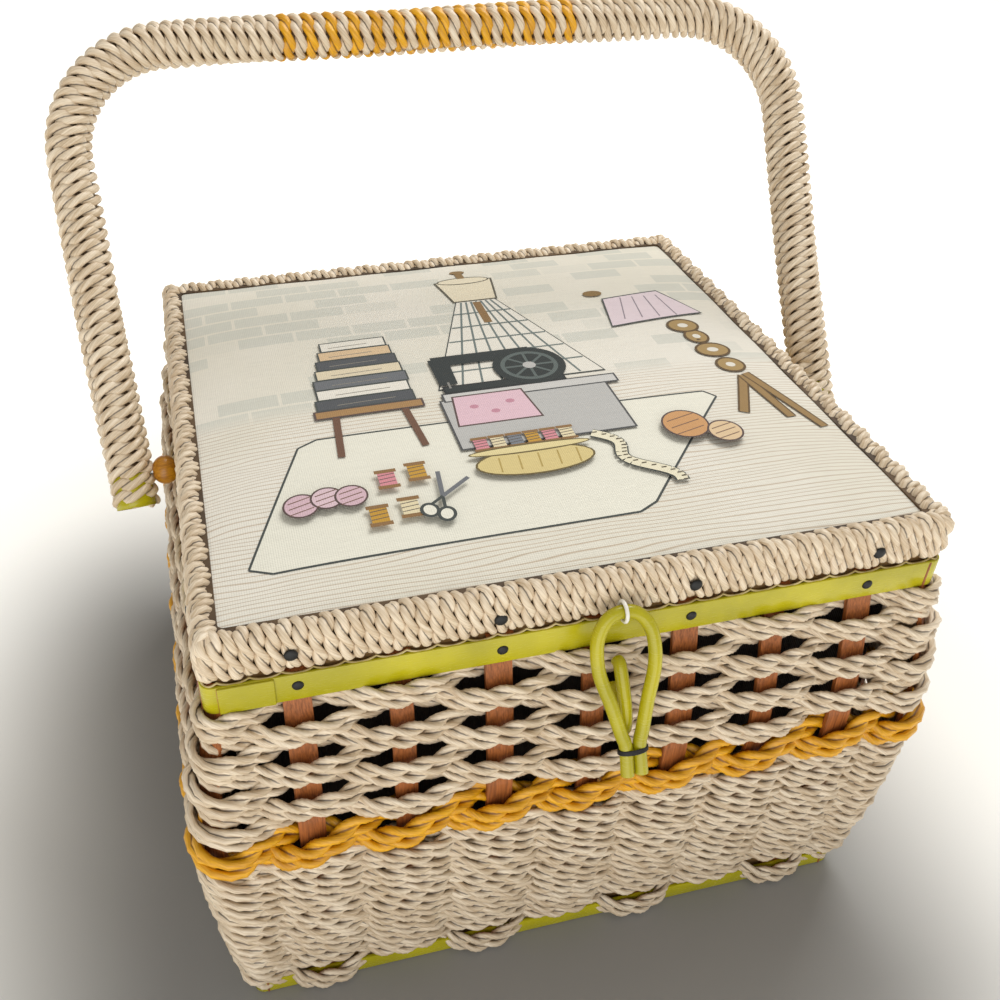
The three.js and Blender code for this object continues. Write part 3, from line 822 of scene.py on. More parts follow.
class BASKET_OT_weave(bpy.types.Operator):
    """Weave the rows of paper cord and the ochre braid round the staves"""

    bl_idname = "basket.weave"
    bl_label = "Weave the wall"

    def execute(self, context):
        cord, weave = context.scene.basket_cord, context.scene.basket_weave
        random.seed(11)
        pitch = (UPPER_HIGH[2] - UPPER_LOW[2]) / weave.upper_rows
        for row in range(weave.upper_rows):
            height = UPPER_HIGH[2] - (row + 0.5) * pitch
            piece = woven_row(f"upper_row_{row + 1}", height, row % 2 == 0, cord, weave)
            place(piece, "basket", "paper_cord", shelf.cord, *(["upper_weave"] if row == 0 else []))
        pitch = (LOWER_HIGH[2] - LOWER_LOW[2]) / weave.lower_rows
        for row in range(weave.lower_rows):
            height = LOWER_LOW[2] + (row + 0.5) * pitch
            droop = BASE_ROW_DROOP if row == 0 else 0.0
            height = height - 0.9 * droop
            piece = woven_row(f"lower_row_{row + 1}", height, row % 2 == 1, cord, weave, droop)
            place(piece, "basket", "paper_cord", shelf.cord, *(["lower_weave"] if row == 0 else []))
        place(braid("braid", cord, weave), "basket", "ochre_cord", shelf.ochre_cord, "braid_band")
        return {"FINISHED"}


# ---------------------------------------------------------------- staves, bands and nails
def corner_stave(number):
    """A stave that follows the wall at a rounded corner."""
    width, foot, top = 9 * MM, WALL_HEIGHTS[0], WALL_HEIGHTS[-1]
    bpy.ops.object.select_all(action="DESELECT")
    bpy.ops.mesh.primitive_cube_add(size=1, location=(0, 0, (foot + top) / 2))
    piece = added(f"stave_corner_{number + 1}")
    piece.scale = (STAVE_THICKNESS, width, top - foot)
    settle(piece)
    bpy.ops.object.mode_set(mode="EDIT")
    for height in WALL_HEIGHTS[1:-1]:
        bpy.ops.mesh.select_all(action="SELECT")
        bpy.ops.mesh.bisect(plane_co=(0, 0, height), plane_no=(0, 0, 1))
    bpy.ops.object.mode_set(mode="OBJECT")
    far = STATIONS[number * CORNER_TO_CORNER]
    for vertex in piece.data.vertices:
        outward = wall_offset(vertex.co.z) - STAVE_THICKNESS / 2
        (x, y), (out_x, out_y) = (v.tolist() for v in EDGE.at(far, outward))
        turned = Matrix(((out_x, -out_y, 0), (out_y, out_x, 0), (0, 0, 1))) @ vertex.co
        vertex.co = turned + Vector((x, y, 0))
    modify(piece, "BEVEL", width=0.4 * MM, segments=2, limit_method="ANGLE",
           angle_limit=math.radians(60))
    return smooth(piece)


def nail_head(radius):
    """A round nail head that faces +Z."""
    bpy.ops.object.select_all(action="DESELECT")
    bpy.ops.mesh.primitive_uv_sphere_add(segments=14, ring_count=8, radius=radius)
    piece = added("nail")
    piece.scale = (1, 1, 0.45)
    settle(piece)
    bpy.ops.object.mode_set(mode="EDIT")
    bpy.ops.mesh.select_all(action="SELECT")
    bpy.ops.mesh.bisect(plane_co=(0, 0, -0.12 * radius), plane_no=(0, 0, 1), use_fill=True,
                        clear_inner=True)
    bpy.ops.object.mode_set(mode="OBJECT")
    return smooth(piece, 60)


def nail_places(outward, height, drift=0.0):
    """Matrices that stand a nail on the wall at each nailed stave."""
    places = []
    for side in range(4):
        for number in range(1, STAVES_PER_SIDE + 1, 2):
            station = side * CORNER_TO_CORNER + number
            far = STATIONS[station] + random.uniform(-drift, drift)
            (x, y), (out_x, out_y) = (v.tolist() for v in EDGE.at(far, outward))
            up = height + random.uniform(-drift, drift) / 2
            turn = Vector((out_x, out_y, 0)).to_track_quat("Z", "Y").to_matrix().to_4x4()
            places.append(Matrix.Translation((x, y, up)) @ turn)
    return places


class BASKET_OT_bands(bpy.types.Operator):
    """Fit the plastic bands, the corner staves, the hoop under the lid and the nails"""

    bl_idname = "basket.bands"
    bl_label = "Fit bands, staves and nails"

    def execute(self, context):
        winding = context.scene.basket_winding
        random.seed(23)
        thickness = 1.6 * MM
        band_out = BAND_HIGH[0] - LID_HALF_X
        band = rounded_hoop("lime_band", band_out, BAND_LOW[2], BAND_HIGH[2], thickness, 0.5 * MM)
        place(band, "basket", "lime_plastic", shelf.lime, "rim_band")
        base_out = BASE_RIM_HIGH[0] - LID_HALF_X
        rim = rounded_hoop("lime_base_rim", base_out, BASE_RIM_LOW[2], BASE_RIM_HIGH[2],
                           thickness, 0.5 * MM)
        place(rim, "basket", "lime_plastic", shelf.lime, "base_rim")
        self.overlap(band_out)
        for number in range(4):
            place(corner_stave(number), "basket", "stave_wood", shelf.stave)
        staves = [name for name in frame["nodes"] if name.startswith("stave_")]
        coat(shelf.stave, *staves)
        coat(shelf.pale_wood, "rim_hoop", "base_board")
        middle = (BAND_LOW[2] + BAND_HIGH[2]) / 2
        nails = copies(nail_head(winding.nail_radius), "band_nails",
                       nail_places(band_out, middle + 0.5 * MM, 0.8 * MM)
                       + nail_places(base_out, 4.6 * MM, 0.8 * MM))
        place(nails, "basket", "steel", shelf.black)
        nails = copies(nail_head(1.18 * winding.nail_radius), "lid_nails",
                       nail_places(0.1 * MM, lid_low[2] + 9.0 * MM, 0.9 * MM))
        place(nails, "lid", "steel", shelf.black)
        return {"FINISHED"}

    def overlap(self, band_out):
        """The band's free end, lapped over itself near the front left corner."""
        bpy.ops.object.select_all(action="DESELECT")
        height = BAND_HIGH[2] - BAND_LOW[2] - 0.4 * MM
        size = (19 * MM, 1.1 * MM, height)
        middle = (BAND_LOW[2] + BAND_HIGH[2]) / 2
        x = -(LID_HALF_X - LID_CORNER) + size[0] / 2 + 1 * MM
        y = -(LID_HALF_Y + band_out + size[1] / 2 - 0.2 * MM)
        bpy.ops.mesh.primitive_cube_add(size=1, location=(x, y, middle))
        piece = added("lime_band_end")
        piece.scale = size
        settle(piece)
        modify(piece, "BEVEL", width=0.45 * MM, segments=3)
        place(smooth(piece), "basket", "lime_plastic", shelf.lime)


# ---------------------------------------------------------------- the lid
def bar_track():
    """The cord's middle line round the lid's edge, in (outward, upward) from its middle."""
    half_height = (lid_high[2] - lid_low[2]) / 2
    inset = WOUND_CORD_HALF
    return rounded_track(ROLL_WIDTH / 2 - inset, half_height - inset, ROLL_WIDTH / 2 - inset)


def lid_winding(name, cord, winding):
    """One cord wound round and round the lid's edge."""
    bar = bar_track()
    turns = round(EDGE.length / winding.lid_pitch)
    count = turns * winding.steps_per_turn
    share = np.arange(count) / count
    around = bar.length * (1 - np.mod(share * turns, 1))
    section, section_out = bar.at(around)
    far = EDGE.length * np.mod(share + 0.62, 1)
    far = far + wander(share, 1, 0.5 * MM)
    far = np.mod(far, EDGE.length)
    flat, out = EDGE.at(far, section[:, 0] - ROLL_WIDTH / 2)
    middle = (lid_low[2] + lid_high[2]) / 2
    route, level_out = space(flat, out, middle + section[:, 1])
    out = level_out * section_out[:, :1]
    out[:, 2] = section_out[:, 1]
    whole = whole_turns(bar.length * turns, cord.twist_length * 0.92)
    twist = -FULL_TURN * whole * share
    return twisted_cord(name, route, out, twist, True, cord, 0.85, 0.9)


def pad_height(x, y):
    """Height of the cloth: crowned, drawn down along its edges."""
    reach = 22 * MM
    half_x, half_y = pad_half()
    inward_x = np.maximum(half_x - np.abs(x), 0)
    inward_y = np.maximum(half_y - np.abs(y), 0)
    rise = (1 - np.exp(-inward_x / reach)) * (1 - np.exp(-inward_y / reach))
    low = PAD_LOW[2] + 0.30 * (PAD_HIGH[2] - PAD_LOW[2])
    pull = np.sin(x / (7.5 * MM)) * np.exp(-inward_y / (5 * MM))
    pull = pull + np.sin(y / (8.1 * MM) + 1) * np.exp(-inward_x / (5 * MM))
    return low + (PAD_HIGH[2] - low) * rise + 0.18 * MM * pull


def pad_half():
    tuck = 7.6 * MM
    return LID_HALF_X - tuck, LID_HALF_Y - tuck


class BASKET_OT_lid(bpy.types.Operator):
    """Wind the lid's edge, pad its top and stitch the trim under it"""

    bl_idname = "basket.lid"
    bl_label = "Make the lid"

    def execute(self, context):
        cord, winding = context.scene.basket_cord, context.scene.basket_winding
        random.seed(31)
        edge = lid_winding("lid_winding", cord, winding)
        place(edge, "lid", "paper_cord", shelf.cord, "lid_wrap")
        self.pad()
        print_motifs()
        self.trim()
        # Painted shade: the lid's frame shows in the gap between the cloth and the wound edge, so it is
        # coated dark.
        coat(shelf.shade, "lid_frame")
        coat(shelf.pale_wood, "lid_board")
        return {"FINISHED"}

    def pad(self):
        half_x, half_y = pad_half()
        bpy.ops.object.select_all(action="DESELECT")
        bpy.ops.mesh.primitive_grid_add(x_subdivisions=130, y_subdivisions=122, size=2)
        piece = added("cloth_pad")
        piece.scale = (half_x, half_y, 1)
        settle(piece)
        corners = np.empty(len(piece.data.vertices) * 3)
        piece.data.vertices.foreach_get("co", corners)
        corners = corners.reshape(-1, 3)
        corners[:, 2] = pad_height(corners[:, 0], corners[:, 1])
        piece.data.vertices.foreach_set("co", corners.ravel())
        modify(piece, "SOLIDIFY", thickness=1.2 * MM, offset=-1)
        place(smooth(piece, 60), "lid", "printed_cloth", shelf.print, "lid_pad")

    def trim(self):
        """A fine thread in small swags along the foot of the edge, over the band's top."""
        swag = 10.7 * MM
        count = round(EDGE.length / swag)
        steps = count * 8
        share = np.arange(steps) / steps
        dip = np.abs(np.cos(math.pi * count * share))
        far = EDGE.length * share
        flat, out = EDGE.at(far, -1.5 * MM)
        route, out = space(flat, out, lid_low[2] + 0.8 * MM - 1.7 * MM * dip ** 0.7)
        thread = round_tube("trim_thread", route, out, 0.4 * MM, 6, True)
        place(thread, "lid", "paper_cord", shelf.thread)


# ---------------------------------------------------------------- the print on the cloth
class Print:
    """Flat inked shapes that are laid on the cloth, each in its own colour."""

    def __init__(self):
        self.inks = []

    def shape(self, colour, middle, size, sides=4, turn=0.0, taper=1.0):
        """A filled outline. Four sides make a box, and taper is how wide its top stays."""
        layer = 0.15 * MM + 0.01 * MM * len(self.inks)
        start = math.pi / 4 if sides == 4 else 0.0
        bpy.ops.object.select_all(action="DESELECT")
        bpy.ops.mesh.primitive_circle_add(vertices=sides, radius=1, fill_type="NGON")
        ink = added("ink")
        stretch = math.sqrt(2) if sides == 4 else 1.0
        ink.data.transform(Matrix.Rotation(start, 4, "Z"))
        for vertex in ink.data.vertices:
            x, y = vertex.co.x * stretch, vertex.co.y * stretch
            width = size[0] / 2 * (1 + (taper - 1) * (y + 1) / 2)
            vertex.co = (x * width * MM, y * size[1] / 2 * MM, layer)
        ink.data.transform(Matrix.Translation((middle[0] * MM, middle[1] * MM, 0))
                           @ Matrix.Rotation(math.radians(turn), 4, "Z"))
        paint = ink.data.attributes.new("paint", "FLOAT_COLOR", "POINT")
        paint.data.foreach_set("color", list(tint(colour)) * len(ink.data.vertices))
        self.inks.append(ink)

    def polygon(self, colour, corners):
        self.shape(colour, (0, 0), (2, 2), len(corners))
        layer = self.inks[-1].data.vertices[0].co.z
        for vertex, (x, y) in zip(self.inks[-1].data.vertices, corners[::-1]):
            vertex.co = (x * MM, y * MM, layer)

    def around(self, colour, corners, width):
        for start, end in zip(corners, corners[1:] + corners[:1]):
            self.line(colour, start, end, width)

    def line(self, colour, start, end, width):
        run, rise = end[0] - start[0], end[1] - start[1]
        middle = ((start[0] + end[0]) / 2, (start[1] + end[1]) / 2)
        self.shape(colour, middle, (math.hypot(run, rise), width), 4,
                   math.degrees(math.atan2(rise, run)))

    def outlined(self, colour, edge, middle, size, sides=4, turn=0.0, taper=1.0, rim=0.9):
        self.shape(edge, middle, (size[0] + rim, size[1] + rim), sides, turn, taper)
        self.shape(colour, middle, (size[0] - rim, size[1] - rim), sides, turn, taper)

    def lay(self):
        """Cuts the inks into small cells and lays them on the padded cloth."""
        piece = joined(self.inks, "printed_motifs")
        bpy.ops.object.mode_set(mode="EDIT")
        for axis, half in ((0, LID_HALF_X), (1, LID_HALF_Y)):
            normal = [0, 0, 0]
            normal[axis] = 1
            for cut in np.arange(-half, half, 10 * MM):
                point = [0, 0, 0]
                point[axis] = cut
                bpy.ops.mesh.select_all(action="SELECT")
                bpy.ops.mesh.bisect(plane_co=point, plane_no=normal)
        bpy.ops.mesh.select_all(action="SELECT")
        bpy.ops.mesh.quads_convert_to_tris()
        bpy.ops.object.mode_set(mode="OBJECT")
        for vertex in piece.data.vertices:
            vertex.co.z += float(pad_height(vertex.co.x, vertex.co.y))
        return piece


def draw_rug(p):
    corners = [(-118, -98), (-110, -102), (26, -101), (34, -97), (88, -36), (84, -31), (-84, -29), (-92, -33)]
    p.polygon(0xEDE9D8, corners)
    p.around(0x3E4440, corners, 0.9)


def draw_dress_form(p):
    p.outlined(0xECE6D8, 0x3E4440, (11, 34), (76, 78), 4, 0, 0.26)
    for side in (-27, -18, -9, 0, 9, 18, 27):
        p.line(0x6F7A76, (11 + side, -4), (11 + side * 0.28, 72), 1.0)
    for height in (8, 21, 34, 47, 60):
        half = 37 * (1 - 0.74 * (height + 5) / 78)
        p.line(0x6F7A76, (11 - half, height), (11 + half, height), 1.0)
    p.shape(0x8E6B3A, (11, 60), (4, 22))
    p.outlined(0xE9DDC0, 0x57503C, (11, 85), (22, 24), 4, 0, 1.35)
    p.outlined(0xE9DDC0, 0x57503C, (11, 97), (27, 8), 24)
    p.shape(0x8A6A34, (11, 104), (4, 8))
    p.shape(0x8A6A34, (11, 109), (8, 4.6), 16)


def draw_machine(p):
    p.outlined(0xBDBBB6, 0x4A4A4A, (8, -33), (74, 36))
    p.outlined(0xCFCCC6, 0x4A4A4A, (12, -13), (78, 6))
    p.outlined(0xE3BFC8, 0x57423C, (-8, -24), (36, 22), 4, 0, 0.85)
    for x, y in ((-16, -22), (-8, -27), (0, -21)):
        p.shape(0xC78C9C, (x, y), (4, 3), 12)
    p.outlined(0x1F2725, 0x0E1211, (2, -7), (54, 5))
    p.shape(0x1F2725, (-2, 17), (46, 8))
    p.shape(0x1F2725, (-22, 8), (8, 22), 4, 0, 1.15)
    p.line(0x8A8780, (-22, -1), (-22, -6), 1.0)
    p.shape(0x1B2421, (17, 5), (33, 31), 36)
    p.shape(0x59635F, (17, 5), (26, 24), 32)
    p.shape(0x1B2421, (17, 5), (22, 20), 32)
    for angle in (0, 45, 90, 135):
        run, rise = 11 * math.cos(math.radians(angle)), 10 * math.sin(math.radians(angle))
        p.line(0x59635F, (17 - run, 5 - rise), (17 + run, 5 + rise), 1.3)
    p.shape(0xBDBBB6, (17, 5), (6, 5.6), 16)


def draw_spool(p, x, y, colour, size=1.0):
    p.shape(0x8F6A3C, (x, y - 5.6 * size), (10 * size, 2.4 * size))
    p.shape(colour, (x, y), (7.8 * size, 9 * size))
    for step in (-2.6, 0, 2.6):
        p.line(0x5A5048, (x - 3.9 * size, y + step * size), (x + 3.9 * size, y + (step + 0.8) * size), 0.4)
    p.shape(0x8F6A3C, (x, y + 5.6 * size), (10 * size, 2.4 * size))


def draw_basket(p):
    for number, colour in enumerate((0xD98C94, 0xE7D8B0, 0x7A7F86, 0xC7962C, 0xD98C94, 0xE7D8B0)):
        draw_spool(p, -21 + 7.2 * number, -50, colour, 0.7)
    p.outlined(0xDCC786, 0x6B5A2C, (-3, -65), (48, 17), 28)
    p.outlined(0xE5D49A, 0x6B5A2C, (-3, -57), (50, 5), 24)
    for x in (-18, -10, -2, 6, 14):
        p.line(0xB59A4E, (x, -70), (x + 1, -61), 0.6)


def draw_scissors(p):
    for turn, bow in ((24, -1), (-24, 1)):
        lean = math.radians(60 + turn)
        tip = (-44 + 15 * math.cos(lean), -79 + 15 * math.sin(lean))
        bottom = (-44 - 8 * math.cos(lean), -79 - 8 * math.sin(lean))
        p.line(0x6E7074, (-44, -79), tip, 1.8)
        p.line(0x3E4440, bottom, (-44, -79), 1.3)
        p.outlined(0xEDE9D8, 0x3E4440, (bottom[0], bottom[1] - 2), (6, 7), 20, bow * 15, rim=1.3)


def draw_tape(p):
    points = [(25 + 3.1 * t + 4 * math.sin(1.3 * t), -52 - 5.4 * t) for t in np.arange(0, 7.0, 0.4)]
    for start, end in zip(points, points[1:]):
        p.line(0x3E4440, start, end, 5.8)
    for start, end in zip(points, points[1:]):
        p.line(0xEFE6C8, start, end, 4.6)
    for x, y in points:
        p.line(0x4B3A1C, (x + 0.2, y), (x + 2.2, y), 0.5)


def draw_table(p):
    for start, end in (((108, -22), (94, -50)), ((108, -22), (113, -56)), ((110, -20), (124, -64))):
        p.line(0x5E4417, start, end, 5.0)
        p.line(0x9B7A45, start, end, 3.4)
    for x, y, wide in ((107, -12, 13), (105, 2, 16), (103, 15, 11), (101, 26, 15)):
        p.outlined(0xA98A52, 0x5E4417, (x, y), (wide, 12), 24, rim=1.2)
        p.shape(0xE6E0D2, (x, y), (wide * 0.35, 4), 16)
    p.outlined(0xE4D2D6, 0x3E4440, (90, 48), (50, 27), 4, 8, 0.62)
    for side in (-14, -5, 4, 13):
        p.line(0x8B7E86, (90 + side, 37), (92 + side * 0.7, 59), 0.6)
    p.shape(0x8A6A34, (70, 66), (10, 6), 18)


def draw_stool(p):
    for x in (-76, -42):
        p.line(0x6E4A33, (x, -44), (x + (-59 - x) * 0.15, -14), 3.0)
    p.outlined(0xA9814E, 0x57423C, (-59, -13), (46, 5.4))
    layers = ((-6, 0x4E5053, 42), (2, 0xECE6D8, 40), (10, 0x6B6D70, 41), (18, 0xE3D4B4, 38),
              (26, 0x4E5053, 36), (34, 0xDDBF96, 33), (42, 0xECE6D8, 30))
    for y, colour, width in layers:
        p.outlined(colour, 0x3E4440, (-59 + 0.06 * y, y), (width, 7.6), rim=0.7)
        p.line(0x8B8578, (-59 - width * 0.3, y - 1), (-59 + width * 0.3, y - 0.4), 0.5)


def draw_yarn(p):
    for x, y, wide, colour in ((-96, -72, 13, 0xD8B6BE), (-86, -70, 12, 0xE0C3C9), (-77, -71, 12, 0xD8B6BE),
                               (64, -56, 19, 0xCF9A62), (78, -64, 14, 0xE2C49A)):
        p.outlined(colour, 0x57423C, (x, y), (wide, wide), 26, rim=0.8)
        for step in (-0.25, 0.0, 0.25):
            p.line(0x7A5A48, (x - wide * 0.36, y + wide * (step - 0.1)),
                   (x + wide * 0.36, y + wide * (step + 0.1)), 0.5)


def print_motifs():
    """Sewing things on the lid's cloth: a room with a rug, a dress form and a machine."""
    p = Print()
    draw_rug(p)
    draw_dress_form(p)
    draw_table(p)
    draw_stool(p)
    draw_machine(p)
    draw_tape(p)
    draw_basket(p)
    for x, y, colour in ((-69, -84, 0xC7962C), (-57, -82, 0xE7D8B0), (-62, -64, 0xD98C94),
                         (-50, -62, 0xC7962C)):
        draw_spool(p, x, y, colour, 0.85)
    draw_scissors(p)
    draw_yarn(p)
    place(p.lay(), "lid", "printed_cloth", shelf.ink)


# ---------------------------------------------------------------- the handle
def joint_at(name):
    joint = next(j for j in frame["joints"] if j["name"] == name)
    return np.array(joint["pos_m"])


class Handle:
    """The handle's middle line, worked out from its node's box."""

    def __init__(self, winding):
        low, high = node_box("handle_wrap")
        radius = winding.grip_radius
        self.pivot = joint_at("handle_swing")
        back, up = high[1] - radius - self.pivot[1], high[2] - radius - self.pivot[2]
        self.lean = math.atan2(back, up)
        self.length = math.hypot(back, up)
        self.half = high[0] - radius
        drop = self.pivot[2] - low[2] - radius * math.sin(self.lean)
        self.tail = drop / math.cos(self.lean)
        bend, splay = winding.bend_radius, ARM_SPLAY
        x, arm = self.half - bend, self.length - bend
        side = (arm - bend * math.sin(splay) + self.tail) / math.cos(splay)
        foot_x = x - side * math.sin(splay)
        foot = arm - side * math.cos(splay)
        arc = bend * (math.pi / 2 + splay)
        lengths = np.cumsum([0, side, arc, 2 * x, arc, side])
        centres = [(-foot_x, foot), (-x, arm), (-x, arm), (x, arm), (x, arm), (foot_x, foot)]
        left = math.pi + splay
        turns = [left, left, math.pi / 2, math.pi / 2, -splay, -splay]
        self.track = Track([(far, *centre, turn) for far, centre, turn in zip(lengths, centres, turns)],
                           bend)

    def stand(self, flat, sideways):
        """From the handle's own plane and the distance before it to the leaning handle."""
        x, up = flat[..., 0], flat[..., 1]
        cosine, sine = math.cos(self.lean), math.sin(self.lean)
        return np.stack([x, sine * up - cosine * sideways, cosine * up + sine * sideways], -1)


def handle_turns(name, handle, first, last, cord, winding):
    """Turns of cord round the handle, from the first to the last."""
    steps = max(2, round((last - first) * winding.steps_per_turn))
    turn = np.linspace(first, last, steps + 1)
    angle = FULL_TURN * turn + math.pi
    radius = winding.grip_radius - WOUND_CORD_HALF
    flat, out = handle.track.at(turn * winding.turn_pitch + 1.5 * MM)
    level = flat + out * (radius * np.cos(angle))[:, None]
    route = handle.pivot + handle.stand(level, radius * np.sin(angle))
    away = handle.stand(out * np.cos(angle)[:, None], np.sin(angle))
    circumference = FULL_TURN * radius
    twist = -FULL_TURN * turn * circumference / (cord.twist_length * 1.04)
    return twisted_cord(name, route, away, twist, False, cord, 0.85, 1.04)


class BASKET_OT_handle(bpy.types.Operator):
    """Wind the handle in cord, with ochre turns in its middle, and fit its ends and beads"""

    bl_idname = "basket.handle"
    bl_label = "Wind the handle"

    def execute(self, context):
        cord, winding = context.scene.basket_cord, context.scene.basket_winding
        random.seed(47)
        handle = Handle(winding)
        turns = math.floor((handle.track.length - 5 * MM) / winding.turn_pitch)
        first = turns // 2 - winding.ochre_turns
        beige = [(0, first)]
        ochre = []
        for turn in range(winding.ochre_turns):
            ochre.append((first + 2 * turn, first + 2 * turn + 1))
            beige.append((first + 2 * turn + 1, first + 2 * turn + 2))
        beige.append((first + 2 * winding.ochre_turns, turns))
        pieces = [handle_turns("turn", handle, a, b, cord, winding) for a, b in beige if b > a]
        place(joined(pieces, "handle_winding"), "handle", "paper_cord", shelf.cord, "handle_wrap")
        pieces = [handle_turns("turn", handle, a, b, cord, winding) for a, b in ochre]
        place(joined(pieces, "ochre_turns"), "handle", "ochre_cord", shelf.ochre_cord)
        self.core(handle)
        self.beads()
        coat(shelf.steel, "pivot_pin_left", "pivot_pin_right")
        return {"FINISHED"}

    def core(self, handle):
        """The plastic tube's open ends, and a dark bar of painted shade that fills the gaps between the
        turns.
        """
        whole = handle.track.length
        ends = []
        shown, hidden = 14 * MM, 6 * MM
        for start, end in ((0, shown), (whole - shown, whole)):
            flat, out = handle.track.at(np.linspace(start, end, 8))
            route = handle.pivot + handle.stand(flat, 0.0)
            ends.append(round_tube("tube_end", route, handle.stand(out, 0.0), 8.2 * MM, 24,
                                   wall=1.3 * MM))
        place(joined(ends, "handle_tube_ends"), "handle", "lime_plastic", shelf.lime)
        flat, out = handle.track.at(np.linspace(hidden, whole - hidden, 90))
        route = handle.pivot + handle.stand(flat, 0.0)
        piece = round_tube("handle_core_bar", route, handle.stand(out, 0.0), 6.9 * MM, 16)
        # Painted shade: the bar is dark so the gaps between the turns look shaded.
        place(piece, "handle", "lime_plastic", shelf.shade, "handle_core")

    def beads(self):
        for side in ("left", "right"):
            low, high = node_box(f"pivot_bead_{side}")
            radius = (high[2] - low[2]) / 2
            bpy.ops.object.select_all(action="DESELECT")
            bpy.ops.mesh.primitive_uv_sphere_add(segments=28, ring_count=18, radius=radius,
                                                 location=(low + high) / 2, rotation=(0, math.pi / 2, 0))
            piece = added(f"bead_{side}")
            piece.scale = (1, 1, 1.12 * (high[0] - low[0]) / (2 * radius))
            settle(piece)
            bpy.ops.object.mode_set(mode="EDIT")
            for x, inner in ((low[0], True), (high[0], False)):
                bpy.ops.mesh.select_all(action="SELECT")
                bpy.ops.mesh.bisect(plane_co=(x, 0, 0), plane_no=(1, 0, 0), use_fill=True,
                                    clear_inner=inner, clear_outer=not inner)
            bpy.ops.object.mode_set(mode="OBJECT")
            place(smooth(piece, 50), "basket", "ochre_wood", shelf.ochre_wood, f"pivot_bead_{side}")


# ---------------------------------------------------------------- the latch
class BASKET_OT_latch(bpy.types.Operator):
    """Bend the latch's loop and peg from tube, and hang them on their ring"""

    bl_idname = "basket.latch"
    bl_label = "Make the latch"

    def execute(self, context):
        radius = LATCH_TUBE_RADIUS
        ring = joint_at("latch_swing")
        low, _ = node_box("latch_loop")
        lean = 0.4
        for _ in range(12):
            lean = math.atan2(ring[1] - low[1] - radius * math.cos(lean),
                              ring[2] - low[2] - radius * math.sin(lean))
        self.loop(ring, lean, radius)
        self.ring(ring)
        self.peg(radius)
        return {"FINISHED"}

    def hang(self, ring, lean, points):
        """From the loop's own plane, hung from the ring, to its leaning place."""
        points = np.array(points, float)
        down = np.array([0, -math.sin(lean), -math.cos(lean)])
        front = np.array([0, -math.cos(lean), math.sin(lean)])
        across = np.array([1.0, 0, 0])
        return ring + points[:, :1] * across + points[:, 1:2] * front - points[:, 2:] * down

    def loop(self, ring, lean, radius):
        long, tail, half = LOOP_LENGTH, LOOP_TAIL, LOOP_HALF_WIDTH
        side = radius + 0.15 * MM
        arm = [(side, -long - tail), (side, -long), (side + 1.4 * MM, -long + 5 * MM),
               (half * 0.62, -long * 0.68), (half * 0.95, -long * 0.42),
               (half * 0.93, -long * 0.19), (half * 0.56, -long * 0.045)]
        points = [(-x, 0, z) for x, z in arm] + [(0, 0, 0)] + [(x, 0, z) for x, z in arm[::-1]]
        route = route_through(self.hang(ring, lean, points), 8)
        out = (0, -math.cos(lean), math.sin(lean))
        piece = round_tube("latch_tube", route, out, radius, 18, wall=0.8 * MM)
        place(smooth(piece, 60), "latch", "lime_plastic", shelf.lime, "latch_loop")
        angle = np.linspace(0, 2.6 * FULL_TURN, 60)
        wire = np.stack([(2 * radius + 0.4 * MM) * np.cos(angle), (radius + 0.4 * MM) * np.sin(angle),
                         -long - 1 * MM - 0.5 * MM * angle / FULL_TURN], -1)
        route = self.hang(ring, lean, wire)
        piece = round_tube("latch_tie", route, (0, 0, 1), 0.45 * MM, 8)
        place(piece, "latch", "steel", shelf.black)

    def ring(self, ring):
        low, high = node_box("latch_ring")
        wire = (high[0] - low[0]) / 2
        bpy.ops.object.select_all(action="DESELECT")
        bpy.ops.mesh.primitive_torus_add(major_segments=36, minor_segments=12, minor_radius=wire,
                                         major_radius=(high[2] - low[2]) / 2 - wire,
                                         location=ring, rotation=(0, math.pi / 2, 0))
        piece = settle(added("latch_eye"))
        place(smooth(piece, 80), "latch", "white_plastic", shelf.white, "latch_ring")

    def peg(self, radius):
        """A short bight of tube that droops out of the weave and turns back into it."""
        low, high = node_box("latch_peg")
        x = (low[0] + high[0]) / 2
        top, foot = high[2] - radius, high[2] - radius - 15 * MM
        root, front = high[1], low[1] + radius
        leg = 2 * radius + 0.42 * MM
        nose = foot - 0.83 * leg
        points = [(root, top), (root - 2.4 * MM, top - 0.3 * MM), (front + 1.2 * leg, top - 5.4 * MM),
                  (front + 0.4 * leg, top - 12.4 * MM), (front, nose),
                  (front + 0.18 * leg, foot - 1.51 * leg), (front + 0.75 * leg, foot - 1.62 * leg),
                  (front + leg, foot - 1.11 * leg), (front + 1.06 * leg, foot - 0.55 * leg),
                  (root - 1.6 * MM, foot - 0.3 * MM), (root + 1.5 * MM, foot)]
        route = route_through([(x, y, z) for y, z in points], 6)
        piece = round_tube("latch_bight", route, (1, 0, 0), radius, 18)
        place(smooth(piece, 60), "basket", "lime_plastic", shelf.lime, "latch_peg")


